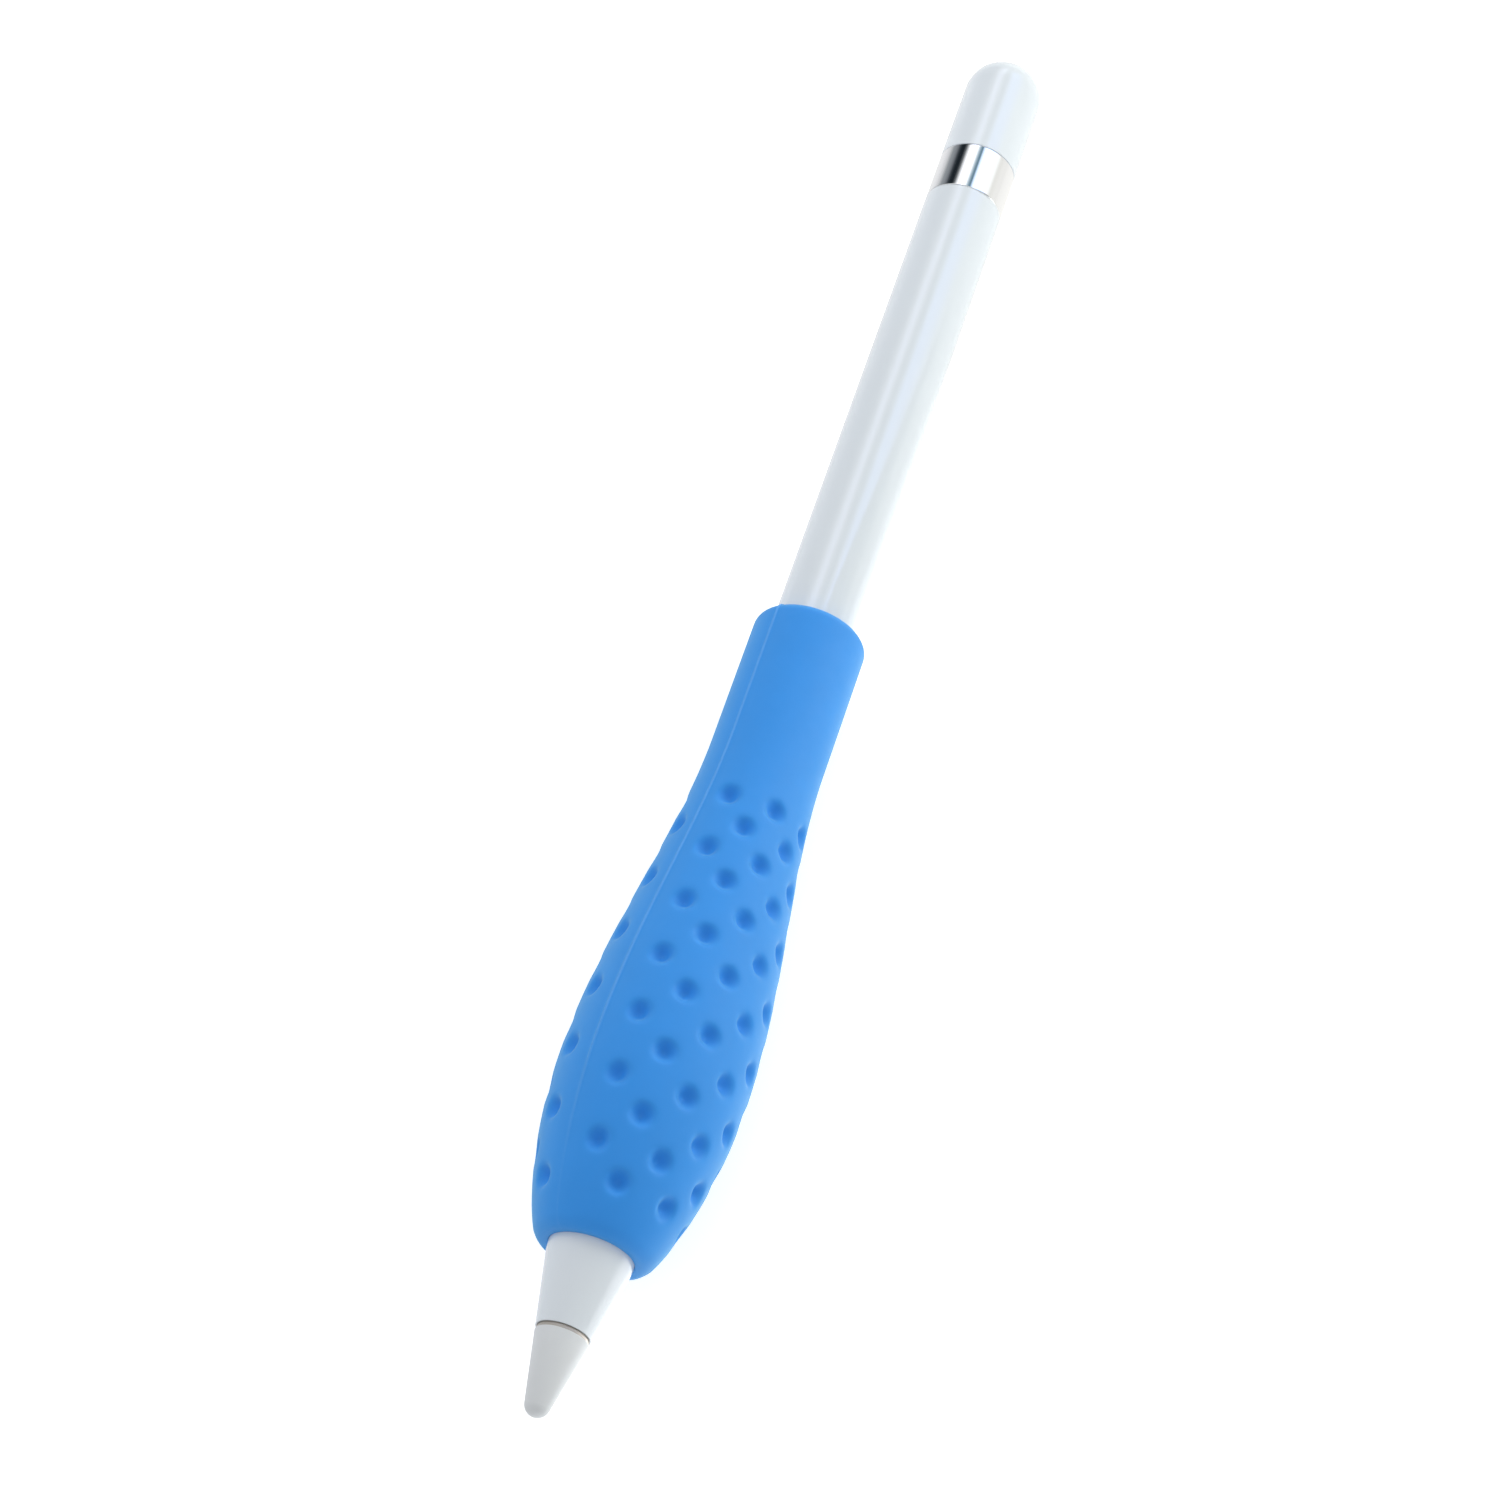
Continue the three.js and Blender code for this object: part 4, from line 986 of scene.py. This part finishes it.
# Name, first and last angle, X of the front edge at both, X of the rear edge, distance, shades and strength
REFLECTIONS = (
    ("rear_wall_card", (-92, 92), (0.20, 0.24), 1.20, 0.46, WALL_SHADES, 3.5),
    ("window_card", (6, 76), (0.211, 0.358), 0.80, 0.40, WINDOW_SHADES, 3.5),
    ("side_window_card", (60, 92), (0.15, 0.15), 0.235, 0.44, SIDE_SHADES, 6.5),
)


class STYLUS_OT_stage(bpy.types.Operator):
    """Set up the floor, the lamps and the camera"""

    bl_idname = "stylus.stage"
    bl_label = "Stage"

    def execute(self, context):
        settings = context.scene.stage_settings
        floor_turn = Matrix.Rotation(-settings.lean, 4, "Y")
        self.lay_floor(settings, floor_turn)
        self.light(context, settings)
        self.place_camera(context, settings, floor_turn)
        context.scene.view_settings.view_transform = "Standard"
        return {"FINISHED"}

    def lay_floor(self, settings, turn):
        """Lays the floor against the lowest points of the sleeve and the cap."""
        up = turn @ Vector((0, 0, 1))
        lowest = min(up.dot(v.co) for name in ("grip_sleeve_silicone", "cap_dome")
                     for v in bpy.data.objects[name].data.vertices)
        bpy.ops.object.select_all(action="DESELECT")
        gap = 0.00003
        bpy.ops.mesh.primitive_plane_add(size=6.0, location=up * (lowest - gap), rotation=turn.to_euler())
        floor = bpy.context.object
        floor.name = floor.data.name = "studio_floor"
        bpy.ops.object.transform_apply(location=True, rotation=True, scale=True)
        floor.data.materials.append(floor_finish(settings.floor_colour))

    def light(self, context, settings):
        """An even room, two soft lamps on the cap's side, and cards for polished surfaces to reflect."""
        world = bpy.data.worlds.new("Room")
        world.use_nodes = True
        context.scene.world = world
        sky = world.node_tree.nodes["Background"]
        sky.inputs["Color"].default_value = (0.97, 0.985, 1.0, 1)
        sky.inputs["Strength"].default_value = settings.sky
        soft_lamp("Ceiling lamp", radians(-50), 0.25, 0.42, 0.30, 0.30, 0.70, (1.0, 0.995, 1.0))
        soft_lamp("Window lamp", radians(66), 0.34, 0.42, 0.34, 0.40, 1.70, (0.98, 0.99, 0.91))
        for name, turns, front, rear, distance, shades, strength in REFLECTIONS:
            light = shaded_light(name.replace("_", " ").capitalize(), shades, strength)
            reflection_card(name, [radians(t) for t in turns], front, rear, distance, light)

    def place_camera(self, context, settings, floor_turn):
        """Looks at the stylus from the photograph's side."""
        bpy.ops.object.select_all(action="DESELECT")
        bpy.ops.object.camera_add()
        camera = bpy.context.object
        camera.name = "Photo camera"
        aim = Matrix.Translation(Vector(settings.aim))
        turn = Matrix.Rotation(settings.azimuth, 4, "Z")
        tilt = Matrix.Rotation(pi / 2 - settings.elevation, 4, "X")
        camera.matrix_world = aim @ floor_turn @ turn @ tilt @ Matrix.Translation((0, 0, settings.distance))
        camera.data.sensor_width = 36.0
        camera.data.lens = settings.lens
        camera.data.clip_start = 0.01
        camera.data.clip_end = 20.0
        context.scene.camera = camera


OPERATORS = (
    STYLUS_OT_grip_sleeve, STYLUS_OT_nib, STYLUS_OT_shaft, STYLUS_OT_barrel, STYLUS_OT_band,
    STYLUS_OT_connector, STYLUS_OT_cap, STYLUS_OT_inside, STYLUS_OT_stage)
GROUPS = {"sleeve_sizes": SleeveSizes, "stylus_sizes": StylusSizes, "finishes": Finishes,
          "stage_settings": StageSettings}


class STYLUS_PT_panel(bpy.types.Panel):
    """Lists the stylus's pieces and sizes"""

    bl_label = "Stylus with grip sleeve"
    bl_idname = "STYLUS_PT_panel"
    bl_space_type = "VIEW_3D"
    bl_region_type = "UI"
    bl_category = "Stylus"

    def draw(self, context):
        for operator in OPERATORS:
            self.layout.operator(operator.bl_idname)
        for name, group in GROUPS.items():
            box = self.layout.box()
            box.label(text=group.__doc__)
            for prop in group.__annotations__:
                box.prop(getattr(context.scene, name), prop)


def register():
    for cls in (*GROUPS.values(), *OPERATORS, STYLUS_PT_panel):
        bpy.utils.register_class(cls)
    for name, group in GROUPS.items():
        setattr(bpy.types.Scene, name, bpy.props.PointerProperty(type=group))


def unregister():
    for name in GROUPS:
        delattr(bpy.types.Scene, name)
    for cls in (STYLUS_PT_panel, *OPERATORS, *GROUPS.values()):
        bpy.utils.unregister_class(cls)


def main():
    register()
    for operator in OPERATORS:
        group, name = operator.bl_idname.split(".")
        getattr(getattr(bpy.ops, group), name)()


if __name__ == "__main__":
    main()
